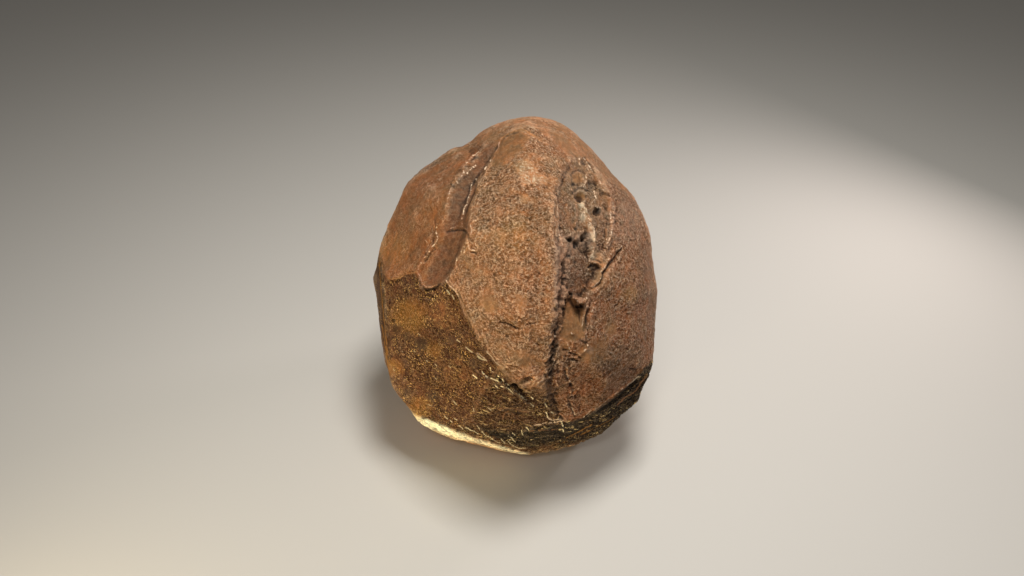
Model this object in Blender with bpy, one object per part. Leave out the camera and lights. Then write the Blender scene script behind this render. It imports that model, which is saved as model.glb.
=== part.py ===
"""A weathered sandstone boulder, one solid, standing on its own flat resting face. Metres, +Z up.

The stone starts as the hull of its main corners, with its edges worn round. Its groove, fissure,
ledges, hollows and pits are then carved into a dense sphere that is pushed out to that hull. The
dense mesh is thinned, and a block of ground cuts the flat face on which the stone rests.
"""

import math

import bmesh
import bpy
import numpy as np
from mathutils import Vector, noise

# Driving dimensions
MIDDLE = Vector((0.000, -0.0125, 0.41))  # where the stone is laid out from, above its footprint
VIEW_DISTANCE = 1.74  # how far off each side of the stone is looked at
SPHERE_DETAIL = 7  # 82,000 triangles before thinning
EDGE_WEAR = math.radians(2.2)  # how widely an edge is rounded, seen from the middle
KEPT_SHARE = 0.12  # share of the dense mesh's triangles that the solid keeps
BLOCK_SIZE = 1.4  # the cutting block, wider than the stone
LUMP_HEIGHT = 0.005  # broad unevenness of every face
LUMP_SIZE = 0.11
WANDER = 0.004  # how far a crack strays from its drawn line
WANDER_SIZE = 0.03
WANDER_SEED = 7
STONE_COLOUR = (0.33, 0.16, 0.07, 1)
STONE_ROUGHNESS = 0.62


class Side:
    """One side of the stone, laid out on a plane through the middle as it looks from a distance."""

    def __init__(self, azimuth, elevation):
        turn, lift = math.radians(azimuth), math.radians(elevation)
        self.right = Vector((math.cos(turn), math.sin(turn), 0))
        self.out = Vector((math.sin(turn) * math.cos(lift), -math.cos(turn) * math.cos(lift), math.sin(lift)))
        self.up = self.out.cross(self.right)

    def corner(self, across, up, out):
        """The point that shows at (across, up) and stands that far out, from the middle."""
        nearer = 1 - out / VIEW_DISTANCE
        return (self.right * across + self.up * up) * nearer + self.out * out

    def lay(self, points):
        """Across and up of each point on this side's plane, and how far out the point stands."""
        out = points @ np.array(self.out)
        nearer = 1 - out / VIEW_DISTANCE
        across = points @ np.array(self.right) / nearer
        up = points @ np.array(self.up) / nearer
        return np.stack([across, up], axis=1), out


FRONT = Side(0, 38)
BACK = Side(170, 15)
RIGHT = Side(82, 20)
LEFT = Side(-82, 18)

# Corners of the stone's outline from the front, clockwise from the top: across, up and out
OUTLINE = (
    (0.060, 0.432, 0.06), (0.125, 0.417, 0.05), (0.150, 0.402, 0.03), (0.308, 0.226, 0.00),
    (0.345, 0.149, 0.04), (0.364, -0.005, 0.08), (0.361, -0.118, 0.08), (0.349, -0.186, 0.10),
    (0.316, -0.281, 0.02), (0.214, -0.368, -0.03), (0.120, -0.404, -0.05), (0.042, -0.418, -0.04),
    (-0.022, -0.408, -0.06), (-0.100, -0.389, -0.07), (-0.176, -0.365, -0.06), (-0.224, -0.338, -0.03),
    (-0.301, -0.252, 0.03), (-0.326, -0.100, 0.02), (-0.344, 0.022, 0.00), (-0.325, 0.120, 0.02),
    (-0.268, 0.260, 0.04), (-0.228, 0.299, 0.05), (-0.163, 0.342, 0.04), (-0.058, 0.405, 0.05),
    (0.000, 0.424, 0.06),
)
# Corners inside that outline
FACE = (
    (0.025, 0.400, 0.165), (0.030, 0.320, 0.270), (0.085, 0.330, 0.240), (0.020, 0.240, 0.326),
    (0.020, 0.145, 0.362), (0.020, 0.050, 0.379), (0.020, -0.055, 0.376), (0.025, -0.150, 0.353),
    (0.030, -0.240, 0.305), (-0.080, 0.130, 0.340), (-0.155, 0.010, 0.300), (-0.218, -0.002, 0.240),
    (-0.318, 0.018, 0.115), (-0.060, -0.030, 0.350), (-0.092, -0.110, 0.318), (-0.030, -0.190, 0.318),
    (0.110, 0.225, 0.310), (0.120, 0.070, 0.360), (0.125, -0.050, 0.357), (0.100, -0.218, 0.300),
    (0.220, 0.270, 0.165), (0.290, 0.182, 0.140), (0.308, -0.005, 0.205), (0.300, -0.142, 0.210),
    (0.225, -0.200, 0.255), (0.215, -0.306, 0.160), (0.127, -0.332, 0.160), (-0.240, -0.318, 0.040),
    (-0.150, -0.352, 0.070), (-0.050, -0.385, 0.060), (-0.305, -0.195, 0.085), (-0.180, 0.232, 0.225),
    (-0.250, 0.180, 0.150),
)
# Corners of the back and of the underside: x, y and z from the middle
REAR = (
    (0.05, 0.33, 0.25), (-0.16, 0.29, 0.20), (0.20, 0.26, 0.16), (0.315, 0.15, -0.04), (-0.305, 0.15, -0.03),
    (0.03, 0.395, 0.05), (-0.18, 0.35, -0.07), (0.19, 0.34, -0.11), (0.00, 0.385, -0.26),
    (0.29, 0.22, -0.27), (-0.29, 0.21, -0.25),
)
UNDERSIDE = (
    (-0.20, -0.06, -0.44), (-0.10, -0.11, -0.44), (0.02, -0.135, -0.44), (0.12, -0.125, -0.44),
    (0.20, -0.08, -0.44), (0.27, 0.05, -0.44), (0.25, 0.19, -0.44), (0.14, 0.29, -0.44),
    (-0.02, 0.33, -0.44), (-0.17, 0.28, -0.44), (-0.27, 0.16, -0.44), (-0.26, 0.03, -0.44),
)

# Troughs: a side, how the trough is shaped, and points of across, up, half width and depth
GROOVE = (
    (-0.020, 0.380, 0.006, 0.004), (-0.052, 0.343, 0.012, 0.010), (-0.088, 0.295, 0.021, 0.016),
    (-0.118, 0.238, 0.027, 0.020), (-0.135, 0.175, 0.030, 0.021), (-0.148, 0.115, 0.033, 0.020),
    (-0.169, 0.060, 0.034, 0.017), (-0.190, 0.022, 0.030, 0.010), (-0.202, -0.010, 0.022, 0.000),
)
SADDLE = (
    (-0.070, 0.312, 0.030, 0.002), (-0.095, 0.350, 0.038, 0.005), (-0.117, 0.378, 0.044, 0.008),
    (-0.135, 0.407, 0.050, 0.007), (-0.150, 0.440, 0.050, 0.004),
)
MAIN_CRACK = (
    (0.155, 0.325, 0.004, 0.002), (0.135, 0.290, 0.005, 0.003), (0.115, 0.245, 0.006, 0.005),
    (0.112, 0.190, 0.007, 0.004), (0.120, 0.140, 0.009, 0.005), (0.130, 0.090, 0.014, 0.008),
    (0.128, 0.045, 0.015, 0.011), (0.126, -0.005, 0.014, 0.011), (0.122, -0.050, 0.011, 0.010),
    (0.113, -0.095, 0.009, 0.009), (0.102, -0.137, 0.008, 0.007), (0.098, -0.175, 0.008, 0.006),
    (0.092, -0.215, 0.009, 0.007), (0.098, -0.260, 0.009, 0.006), (0.110, -0.300, 0.008, 0.005),
    (0.128, -0.328, 0.007, 0.003),
)
SLANTING_CRACK = (
    (0.282, 0.107, 0.005, 0.003), (0.250, 0.065, 0.007, 0.007), (0.230, 0.040, 0.007, 0.008),
    (0.220, 0.012, 0.007, 0.008), (0.195, -0.008, 0.006, 0.005),
)
SIDE_CRACK = (
    (0.203, -0.035, 0.006, 0.003), (0.195, -0.075, 0.008, 0.009), (0.190, -0.110, 0.008, 0.009),
    (0.190, -0.140, 0.006, 0.004),
)
FOOT_CREVICE = ((-0.010, -0.252, 0.005, 0.004), (0.025, -0.252, 0.009, 0.012), (0.065, -0.238, 0.006, 0.004))
LEFT_CRACK = (
    (-0.205, 0.220, 0.004, 0.001), (-0.195, 0.170, 0.005, 0.003), (-0.190, 0.137, 0.005, 0.004),
    (-0.203, 0.110, 0.006, 0.005), (-0.215, 0.080, 0.006, 0.004),
)
BACK_CRACK = (
    (-0.230, 0.230, 0.006, 0.004), (-0.150, 0.170, 0.010, 0.014), (-0.095, 0.080, 0.012, 0.018),
    (-0.080, -0.010, 0.012, 0.018), (-0.020, -0.090, 0.010, 0.014), (0.010, -0.190, 0.006, 0.004),
)
BACK_SCOOP = (
    (0.020, 0.290, 0.040, 0.006), (0.085, 0.190, 0.060, 0.018), (0.140, 0.080, 0.060, 0.018),
    (0.200, -0.020, 0.050, 0.010),
)
RIGHT_CRACK = (
    (-0.210, 0.150, 0.006, 0.004), (-0.100, 0.110, 0.009, 0.012), (0.000, 0.050, 0.010, 0.014),
    (0.080, 0.030, 0.009, 0.012), (0.190, -0.060, 0.006, 0.004),
)
LEFT_SCOOP = (
    (-0.200, 0.020, 0.040, 0.006), (-0.110, -0.040, 0.055, 0.016), (-0.020, -0.070, 0.050, 0.014),
    (0.090, -0.060, 0.040, 0.006),
)
TROUGHS = (
    (FRONT, "round", GROOVE), (FRONT, "round", SADDLE), (FRONT, "sharp", MAIN_CRACK),
    (FRONT, "sharp", SLANTING_CRACK), (FRONT, "sharp", SIDE_CRACK), (FRONT, "sharp", FOOT_CREVICE),
    (FRONT, "sharp", LEFT_CRACK), (BACK, "sharp", BACK_CRACK), (BACK, "round", BACK_SCOOP),
    (RIGHT, "sharp", RIGHT_CRACK), (LEFT, "round", LEFT_SCOOP),
)
# Raised lips, drawn in the same way
GROOVE_CREST = (
    (-0.062, 0.360, 0.006, 0.002), (-0.092, 0.325, 0.008, 0.006), (-0.122, 0.290, 0.009, 0.007),
    (-0.154, 0.240, 0.009, 0.005), (-0.167, 0.180, 0.008, 0.002), (-0.186, 0.115, 0.008, 0.005),
    (-0.212, 0.076, 0.008, 0.006), (-0.233, 0.042, 0.007, 0.005), (-0.219, 0.000, 0.006, 0.005),
    (-0.197, 0.004, 0.006, 0.004), (-0.172, 0.012, 0.006, 0.002),
)
GROOVE_BRINK = (
    (-0.033, 0.370, 0.005, 0.002), (-0.055, 0.322, 0.006, 0.004), (-0.077, 0.280, 0.007, 0.004),
    (-0.102, 0.245, 0.007, 0.004), (-0.115, 0.200, 0.007, 0.004), (-0.126, 0.168, 0.006, 0.003),
    (-0.106, 0.132, 0.007, 0.004), (-0.120, 0.105, 0.007, 0.004), (-0.148, 0.050, 0.006, 0.003),
)
BRIGHT_LIP = ((0.173, 0.210, 0.008, 0.004), (0.187, 0.180, 0.010, 0.009), (0.199, 0.155, 0.010, 0.009),
              (0.205, 0.125, 0.010, 0.008), (0.203, 0.080, 0.008, 0.004))
CRUST_LIP = ((0.220, 0.268, 0.006, 0.003), (0.238, 0.230, 0.008, 0.006), (0.250, 0.187, 0.008, 0.007),
             (0.248, 0.150, 0.008, 0.006), (0.238, 0.110, 0.006, 0.003))
FOOT_LIP = ((-0.085, -0.205, 0.005, 0.003), (-0.050, -0.228, 0.008, 0.007), (-0.017, -0.242, 0.008, 0.007),
            (0.008, -0.262, 0.007, 0.006), (0.038, -0.283, 0.005, 0.003))
LIPS = ((FRONT, "round", GROOVE_CREST), (FRONT, "round", GROOVE_BRINK), (FRONT, "round", BRIGHT_LIP),
        (FRONT, "round", CRUST_LIP), (FRONT, "round", FOOT_LIP))

# Ledges: the stone to the left of the line, going along it, stands higher and falls away again.
# A side, the height, half the width of the steep wall, how far back the height reaches, and
# points of across and up
LEDGES = (
    (FRONT, 0.010, 0.012, 0.090, ((-0.160, 0.014), (-0.135, -0.020), (-0.122, -0.060), (-0.092, -0.110),
                                  (-0.065, -0.160), (-0.030, -0.197), (0.000, -0.228), (0.030, -0.252),
                                  (0.060, -0.245), (0.090, -0.220))),
    (FRONT, 0.006, 0.005, 0.060, ((-0.330, 0.060), (-0.315, 0.017), (-0.280, 0.022), (-0.250, 0.040),
                                  (-0.230, 0.020), (-0.218, -0.006), (-0.195, 0.004), (-0.160, 0.012))),
    (FRONT, 0.007, 0.008, 0.060, ((0.110, -0.280), (0.098, -0.240), (0.085, -0.210), (0.095, -0.160),
                                  (0.103, -0.110), (0.113, -0.050), (0.117, 0.000), (0.118, 0.050),
                                  (0.112, 0.090), (0.104, 0.135), (0.106, 0.190), (0.112, 0.245))),
    (FRONT, 0.004, 0.004, 0.050, ((0.072, 0.350), (0.055, 0.380), (0.020, 0.402), (-0.017, 0.390),
                                  (-0.040, 0.365))),
    (FRONT, 0.006, 0.006, 0.040, ((-0.295, -0.210), (-0.302, -0.142), (-0.310, -0.080), (-0.315, -0.005),
                                  (-0.326, 0.060))),
    (FRONT, 0.010, 0.007, 0.070, ((0.020, -0.362), (0.080, -0.352), (0.130, -0.335), (0.165, -0.328),
                                  (0.195, -0.310), (0.230, -0.290), (0.262, -0.265), (0.292, -0.243),
                                  (0.312, -0.218), (0.345, -0.180))),
    (FRONT, 0.006, 0.006, 0.040, ((-0.035, -0.308), (0.010, -0.300), (0.060, -0.316))),
    (BACK, 0.016, 0.010, 0.120, ((0.300, -0.040), (0.130, -0.030), (0.030, 0.030), (-0.090, 0.020),
                                 (-0.180, 0.060), (-0.300, 0.030))),
    (RIGHT, 0.012, 0.010, 0.100, ((0.260, 0.200), (0.160, 0.140), (0.100, 0.020), (0.120, -0.100),
                                  (0.060, -0.230))),
    (LEFT, 0.011, 0.010, 0.100, ((-0.280, 0.180), (-0.150, 0.130), (-0.010, 0.150), (0.120, 0.090),
                                 (0.250, 0.120))),
)
# Sunken patches of the fissure: depth and outline
PATCHES = (
    (0.006, ((0.128, 0.308), (0.183, 0.325), (0.220, 0.270), (0.240, 0.228), (0.250, 0.182), (0.248, 0.140),
             (0.235, 0.100), (0.205, 0.065), (0.158, 0.115), (0.120, 0.132), (0.115, 0.220))),
    (0.012, ((0.148, 0.113), (0.190, 0.135), (0.205, 0.100), (0.200, 0.065), (0.220, 0.050),
             (0.195, -0.003), (0.185, -0.023), (0.157, -0.025), (0.142, -0.010), (0.132, 0.008),
             (0.132, 0.065))),
    (0.020, ((0.138, -0.022), (0.157, -0.027), (0.172, -0.050), (0.185, -0.052), (0.184, -0.092),
             (0.180, -0.125), (0.150, -0.133), (0.120, -0.125), (0.127, -0.075))),
)
PATCH_RISE = 0.85  # share of a patch's depth that is gone at its shallow end
PATCH_RISE_SPAN = (0.055, 0.135)  # how far below the middle the patches start and stop rising
# Cups with steep walls and soft hollows on the front: across, up, radius and depth
CUPS = (
    (0.165, 0.277, 0.016, 0.007), (0.173, 0.232, 0.015, 0.011), (0.217, 0.195, 0.010, 0.012),
    (0.207, 0.262, 0.019, 0.006), (0.147, 0.121, 0.008, 0.009), (0.186, 0.132, 0.010, 0.009),
    (0.148, -0.018, 0.008, 0.014), (0.178, -0.048, 0.009, 0.014),
)
HOLLOWS = (
    (-0.275, -0.100, 0.045, 0.004), (-0.225, -0.138, 0.040, 0.005), (-0.195, -0.262, 0.055, 0.004),
    (-0.010, -0.120, 0.050, 0.003), (0.235, -0.060, 0.060, 0.004), (0.190, -0.260, 0.050, 0.005),
    (-0.270, 0.110, 0.060, 0.003),
)
CUP_WALL = (0.70, 1.10)  # where a cup's wall starts and stops, as shares of its radius
HOLLOW_WALL = (0.45, 1.20)
PATCH_WALL = 0.005  # half the width of a patch's wall


def smooth(value, low, high):
    """0 below low, 1 above high, and a smooth rise between them."""
    t = np.clip((value - low) / (high - low), 0, 1)
    return t * t * (3 - 2 * t)


def hull_planes():
    """Each face of the hull of the stone's corners, as its normal over its distance from the middle."""
    corners = [FRONT.corner(*corner) for corner in OUTLINE + FACE]
    corners += [Vector(corner) for corner in REAR + UNDERSIDE]
    bm = bmesh.new()
    for corner in corners:
        bm.verts.new(corner)
    bm.verts.index_update()
    bmesh.ops.convex_hull(bm, input=bm.verts)
    faces = sorted(sorted(vert.index for vert in face.verts) for face in bm.faces)
    bm.free()
    planes = []
    for face in faces:
        first, second, third = (np.array(corners[number]) for number in face)
        normal = np.cross(second - first, third - first)
        planes.append(normal / (normal @ first))
    return np.array(planes)


def worn_hull_reach(directions):
    """Distance from the middle to the stone along each direction, with the hull's edges worn.

    It is the mean over a small disc of directions, so flat faces stay flat and edges turn round.
    """
    planes = hull_planes()
    pole = np.where(abs(directions[:, 2:3]) > 0.9, (1.0, 0, 0), (0, 0, 1.0))
    side = np.cross(directions, pole)
    side /= np.linalg.norm(side, axis=1, keepdims=True)
    other = np.cross(directions, side)
    leans = [(0, 0)]
    for ring, spokes in ((0.5, 6), (1.0, 12)):
        leans += [(ring, 2 * math.pi * spoke / spokes) for spoke in range(spokes)]
    total = np.zeros(len(directions))
    for ring, turn in leans:
        leaned = directions + (side * math.cos(turn) + other * math.sin(turn)) * math.tan(EDGE_WEAR * ring)
        leaned /= np.linalg.norm(leaned, axis=1, keepdims=True)
        total += 1 / (leaned @ planes.T).max(axis=1)
    return total / len(leans)


def along_line(line, places):
    """For each place: its distance to the line, which is positive on the left, and the nearest
    point's place along the line, counted in corners."""
    nearest = np.full(len(places), 9.0)
    signed = np.full(len(places), 9.0)
    passed = np.zeros(len(places))
    for number in range(len(line) - 1):
        start, end = np.array(line[number]), np.array(line[number + 1])
        run = end - start
        offset = places - start
        share = np.clip(offset @ run / (run @ run), 0, 1)
        gap = np.linalg.norm(offset - share[:, None] * run, axis=1)
        left = np.where(run[0] * offset[:, 1] - run[1] * offset[:, 0] >= 0, 1, -1)
        closer = gap < nearest
        nearest = np.where(closer, gap, nearest)
        signed = np.where(closer, gap * left, signed)
        passed = np.where(closer, number + share, passed)
    return signed, passed


def trough(places, form, points):
    """Depth of a trough whose half width and depth change along its line."""
    points = np.array(points)
    signed, passed = along_line(points[:, :2], places)
    corners = np.arange(len(points))
    width = np.interp(passed, corners, points[:, 2])
    depth = np.interp(passed, corners, points[:, 3])
    share = abs(signed) / width
    if form == "round":
        return depth * (1 - smooth(share, 0.2, 1.1))
    return depth * np.clip(1.1 - share, 0, 1)


def ledge(places, height, wall, reach, line):
    """Height of a ledge that is steep at its line, fades back from it and dies out at its ends."""
    signed, passed = along_line(line, places)
    ends = smooth(passed, 0, 0.6) * smooth(len(line) - 1 - passed, 0, 0.6)
    return height * ends * smooth(signed, -wall, wall) * (1 - smooth(signed, wall, reach))


def patch(places, depth, outline):
    """Depth of a sunken patch, by how far inside its outline each place is."""
    signed, _ = along_line(outline + outline[:1], places)
    inside = np.zeros(len(places), bool)
    for (x1, y1), (x2, y2) in zip(outline, outline[1:] + outline[:1]):
        crosses = (y1 > places[:, 1]) != (y2 > places[:, 1])
        rise = np.where(y2 == y1, 1e-9, y2 - y1)
        inside ^= crosses & (places[:, 0] < (x2 - x1) * (places[:, 1] - y1) / rise + x1)
    return depth * smooth(np.where(inside, abs(signed), -abs(signed)), -PATCH_WALL, PATCH_WALL)


def hollow(places, wall, across, up, radius, depth):
    """Depth of a round hollow whose wall lies between those two shares of its radius."""
    gap = np.linalg.norm(places - (across, up), axis=1)
    return depth * (1 - smooth(gap, wall[0] * radius, wall[1] * radius))


def wandering(points):
    """A small sideways shift of each point, which makes drawn lines stray as cracks do."""
    noise.seed_set(WANDER_SEED)
    return np.array([noise.noise_vector(Vector(p) / WANDER_SIZE) for p in points]) * WANDER


def lumps(points):
    """The broad unevenness of every face, up and down."""
    return np.array([noise.fractal(Vector(p) / LUMP_SIZE, 0.9, 2.1, 4) for p in points]) * LUMP_HEIGHT


def relief(points):
    """How far each point of the worn hull is raised, or cut where it is negative."""
    strayed = points + wandering(points)
    height = lumps(points)
    past_outline = 1 - smooth(FRONT.lay(points)[1], -0.06, 0.01)
    for side in (FRONT, BACK, RIGHT, LEFT):
        places, out = side.lay(strayed)
        drawn = np.zeros(len(points))
        for owner, form, line in TROUGHS:
            if owner is side:
                drawn -= trough(places, form, line)
        for owner, form, line in LIPS:
            if owner is side:
                drawn += trough(places, form, line)
        for owner, *shape in LEDGES:
            if owner is side:
                drawn += ledge(places, *shape)
        if side is FRONT:
            shallower = 1 - PATCH_RISE * smooth(-places[:, 1], *PATCH_RISE_SPAN)
            drawn -= sum(patch(places, *shape) for shape in PATCHES) * shallower
            drawn -= sum(hollow(places, CUP_WALL, *shape) for shape in CUPS)
            drawn -= sum(hollow(places, HOLLOW_WALL, *shape) for shape in HOLLOWS)
            seen = smooth(out, -0.08, 0.0)
        else:
            seen = smooth(out, 0.0, 0.08) * past_outline
        height += drawn * seen
    return height


def shape_stone(stone):
    """Pushes the sphere's points out to the carved stone."""
    mesh = stone.data
    flat = np.empty(len(mesh.vertices) * 3)
    mesh.vertices.foreach_get("co", flat)
    directions = flat.reshape(-1, 3)
    directions /= np.linalg.norm(directions, axis=1, keepdims=True)
    reach = worn_hull_reach(directions)
    reach += relief(directions * reach[:, None])
    points = directions * reach[:, None] + np.array(MIDDLE)
    mesh.vertices.foreach_set("co", points.ravel())
    mesh.update()


def stone_material():
    material = bpy.data.materials.new("sandstone")
    material.use_nodes = True
    shader = material.node_tree.nodes["Principled BSDF"]
    shader.inputs["Base Color"].default_value = STONE_COLOUR
    shader.inputs["Roughness"].default_value = STONE_ROUGHNESS
    return material


def make_stone(parts):
    bpy.ops.mesh.primitive_ico_sphere_add(subdivisions=SPHERE_DETAIL, radius=1)
    stone = bpy.context.object
    stone.name = "boulder"
    stone.users_collection[0].objects.unlink(stone)
    parts.objects.link(stone)
    stone.data.materials.append(stone_material())
    shape_stone(stone)
    return stone


def make_ground_block(cutters):
    """The block below Z = 0 that cuts the resting face."""
    bpy.ops.mesh.primitive_cube_add(size=BLOCK_SIZE, location=(0, 0, -BLOCK_SIZE / 2))
    block = bpy.context.object
    block.name = "ground_block"
    block.users_collection[0].objects.unlink(block)
    cutters.objects.link(block)
    block.display_type = "WIRE"
    block.hide_render = True
    return block


def thin_and_cut(stone, block):
    thinning = stone.modifiers.new("thinning", "DECIMATE")
    thinning.ratio = KEPT_SHARE
    resting_cut = stone.modifiers.new("resting cut", "BOOLEAN")
    resting_cut.operation = "DIFFERENCE"
    resting_cut.object = block


def new_collection(name):
    collection = bpy.data.collections.new(name)
    bpy.context.scene.collection.children.link(collection)
    return collection


def main():
    for obj in list(bpy.data.objects):
        bpy.data.objects.remove(obj)
    parts = new_collection("boulder")
    cutters = new_collection("cutters")
    stone = make_stone(parts)
    thin_and_cut(stone, make_ground_block(cutters))


main()
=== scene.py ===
# %% [markdown]
# # A weathered sandstone boulder
#
# The real thing is one stone: a hard, rust-brown sandstone that frost and water have broken into
# flat facets and then worn. One side has a smooth groove, a bulge covered with crusted grain, and a
# crumbling fissure. This lesson builds that stone as one dense mesh, in the order a stone carver
# would think of it: first the big facets, then the cuts, then the crust and grain, and last the
# colour. Everything is worked out in code, so the same stone comes out each time.

import math

import bmesh
import bpy
import numpy as np
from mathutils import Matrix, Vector, noise


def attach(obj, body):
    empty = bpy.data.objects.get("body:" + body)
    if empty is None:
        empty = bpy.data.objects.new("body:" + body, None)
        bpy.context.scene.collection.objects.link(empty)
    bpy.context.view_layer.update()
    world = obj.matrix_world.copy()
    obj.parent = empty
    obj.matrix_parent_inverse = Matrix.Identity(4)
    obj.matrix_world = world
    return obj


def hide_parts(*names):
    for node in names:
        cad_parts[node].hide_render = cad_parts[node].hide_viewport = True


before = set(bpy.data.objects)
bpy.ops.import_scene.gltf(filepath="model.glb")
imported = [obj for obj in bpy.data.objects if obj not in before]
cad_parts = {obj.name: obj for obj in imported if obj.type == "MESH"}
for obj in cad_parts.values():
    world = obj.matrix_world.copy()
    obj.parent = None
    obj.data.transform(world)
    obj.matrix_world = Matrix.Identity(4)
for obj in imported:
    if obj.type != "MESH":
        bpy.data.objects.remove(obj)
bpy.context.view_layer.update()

# %% [markdown]
# ## Looking at one side
#
# The stone is laid out the way a sculptor marks a block: from in front, on a flat drawing board
# that stands through the stone's middle. A place on the board is "across" and "up" in metres, and
# "out" is how far a point stands towards the eye. The eye is near, so what stands out looks larger,
# and the board's measures are divided by that. The back and both flanks have boards of their own.

# %% The drawing boards
MIDDLE = Vector((0.000, -0.0125, 0.41))
EYE_DISTANCE = 1.74


class Board:
    """A drawing board through the stone's middle, seen from one side."""

    def __init__(self, azimuth, elevation):
        turn, lift = math.radians(azimuth), math.radians(elevation)
        self.right = Vector((math.cos(turn), math.sin(turn), 0))
        self.out = Vector((math.sin(turn) * math.cos(lift), -math.cos(turn) * math.cos(lift), math.sin(lift)))
        self.up = self.out.cross(self.right)

    def corner(self, across, up, out):
        """The point that shows at (across, up) and stands that far out, from the middle."""
        nearer = 1 - out / EYE_DISTANCE
        return (self.right * across + self.up * up) * nearer + self.out * out

    def lay(self, points):
        """Across and up of each point on the board, and how far out it stands."""
        out = points @ np.array(self.out)
        nearer = 1 - out / EYE_DISTANCE
        across = points @ np.array(self.right) / nearer
        up = points @ np.array(self.up) / nearer
        return np.stack([across, up], axis=1), out


FRONT = Board(0, 38)
BACK = Board(170, 15)
RIGHT = Board(82, 20)
LEFT = Board(-82, 18)
print("the front is seen from", [round(v, 2) for v in MIDDLE + FRONT.out * EYE_DISTANCE])

# %% [markdown]
# ## The camera
#
# The photograph looks down on the stone at 38 degrees from fairly near. The camera stands at that
# eye point and aims at the middle. Its focal length makes one pixel 2.5 mm on the front board, which
# is the stone's size in the picture.

# %% The camera
PICTURE = (1024, 576)
PIXEL_ON_BOARD = 0.0025
SENSOR = 36

camera = bpy.data.objects.new("camera", bpy.data.cameras.new("camera"))
bpy.context.scene.collection.objects.link(camera)
camera.data.sensor_width = SENSOR
camera.data.lens = SENSOR * EYE_DISTANCE / PIXEL_ON_BOARD / PICTURE[0]
camera.location = MIDDLE + FRONT.out * EYE_DISTANCE
camera.rotation_mode = "QUATERNION"
camera.rotation_quaternion = (-FRONT.out).to_track_quat("-Z", "Y")
bpy.context.scene.camera = camera
print("focal length", round(camera.data.lens, 1), "mm")

# %% [markdown]
# ## The studio
#
# A big soft lamp overhead shows the facets, as the sky does outdoors. A small warm lamp low on the
# left rakes over the grain and gilds the edges that face it, which is the strongest light effect in
# the photograph. A weak front light keeps the shadows open, a small high one puts a sparkle on the
# grain, and one behind on the right draws the far edge. The floor is plain and pale. The picture is
# shown without a film curve, so a colour of the finish can be compared with the photograph.

# %% The floor and the lamps
FLOOR_SIZE = 14
FLOOR_GREY = (0.50, 0.49, 0.47, 1)
FLOOR_ROUGHNESS = 0.85

bpy.ops.mesh.primitive_plane_add(size=FLOOR_SIZE, location=(0, 0, 0))
floor = bpy.context.object
floor.name = "floor"
floor_paint = bpy.data.materials.new("floor paint")
floor_paint.use_nodes = True
floor_shader = floor_paint.node_tree.nodes["Principled BSDF"]
floor_shader.inputs["Base Color"].default_value = FLOOR_GREY
floor_shader.inputs["Roughness"].default_value = FLOOR_ROUGHNESS
floor.data.materials.append(floor_paint)


def soft_lamp(name, place, width, watts, colour):
    """A square lamp that faces the stone's middle."""
    lamp = bpy.data.objects.new(name, bpy.data.lights.new(name, "AREA"))
    lamp.data.size = width
    lamp.data.energy = watts
    lamp.data.color = colour
    lamp.location = place
    lamp.rotation_mode = "QUATERNION"
    lamp.rotation_quaternion = (MIDDLE - Vector(place)).to_track_quat("-Z", "Y")
    bpy.context.scene.collection.objects.link(lamp)
    return lamp


soft_lamp("sky lamp", (0.30, -0.25, 2.9), 0.7, 80, (1.0, 0.96, 0.89))
soft_lamp("low warm lamp", (-1.15, -1.35, 0.06), 0.30, 42, (1.0, 0.80, 0.46))
soft_lamp("front fill", (1.6, -2.4, 1.3), 1.6, 5, (1.0, 0.96, 0.90))
soft_lamp("sparkle lamp", (-0.30, -1.60, 2.25), 0.30, 9, (1.0, 0.95, 0.88))
soft_lamp("rim lamp", (1.8, 1.0, 1.0), 0.4, 14, (1.0, 0.88, 0.82))

world = bpy.data.worlds.new("studio air")
world.use_nodes = True
air = world.node_tree.nodes["Background"].inputs
air["Color"].default_value = (0.86, 0.81, 0.74, 1)
air["Strength"].default_value = 0.16
bpy.context.scene.world = world
bpy.context.scene.view_settings.view_transform = "Standard"

# %% [markdown]
# ## The broken block
#
# A broken stone is close to the hull of its corners, because blows take off its edges first. So the
# corners are placed one by one: those of the outline, those that show inside it, and the hidden ones.
# The first two kinds are measured on the front board, as across, up and out. The others are x, y and
# z from the middle. Tables are easier to read in whole millimetres, so a helper turns them to metres.

# %% Corners of the block, in millimetres
def in_mm(*rows):
    """Rows of numbers in millimetres, as metres."""
    return tuple(tuple(number / 1000 for number in row) for row in rows)


OUTLINE = in_mm(
    (60, 432, 60), (125, 417, 50), (150, 402, 30), (308, 226, 0), (345, 149, 40), (364, -5, 80),
    (361, -118, 80), (349, -186, 100), (316, -281, 20), (214, -368, -30), (120, -404, -50), (42, -418, -40),
    (-22, -408, -60), (-100, -389, -70), (-176, -365, -60), (-224, -338, -30), (-301, -252, 30),
    (-326, -100, 20), (-344, 22, 0), (-325, 120, 20), (-268, 260, 40), (-228, 299, 50), (-163, 342, 40),
    (-58, 405, 50), (0, 424, 60),
)
FACE = in_mm(
    (25, 400, 165), (30, 320, 270), (85, 330, 240), (20, 240, 326), (20, 145, 362), (20, 50, 379),
    (20, -55, 376), (25, -150, 353), (30, -240, 305), (-80, 130, 340), (-155, 10, 300), (-218, -2, 240),
    (-318, 18, 115), (-60, -30, 350), (-92, -110, 318), (-30, -190, 318), (110, 225, 310), (120, 70, 360),
    (125, -50, 357), (100, -218, 300), (220, 270, 165), (290, 182, 140), (308, -5, 205), (300, -142, 210),
    (225, -200, 255), (215, -306, 160), (127, -332, 160), (-240, -318, 40), (-150, -352, 70),
    (-50, -385, 60), (-305, -195, 85), (-180, 232, 225), (-250, 180, 150),
)
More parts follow.
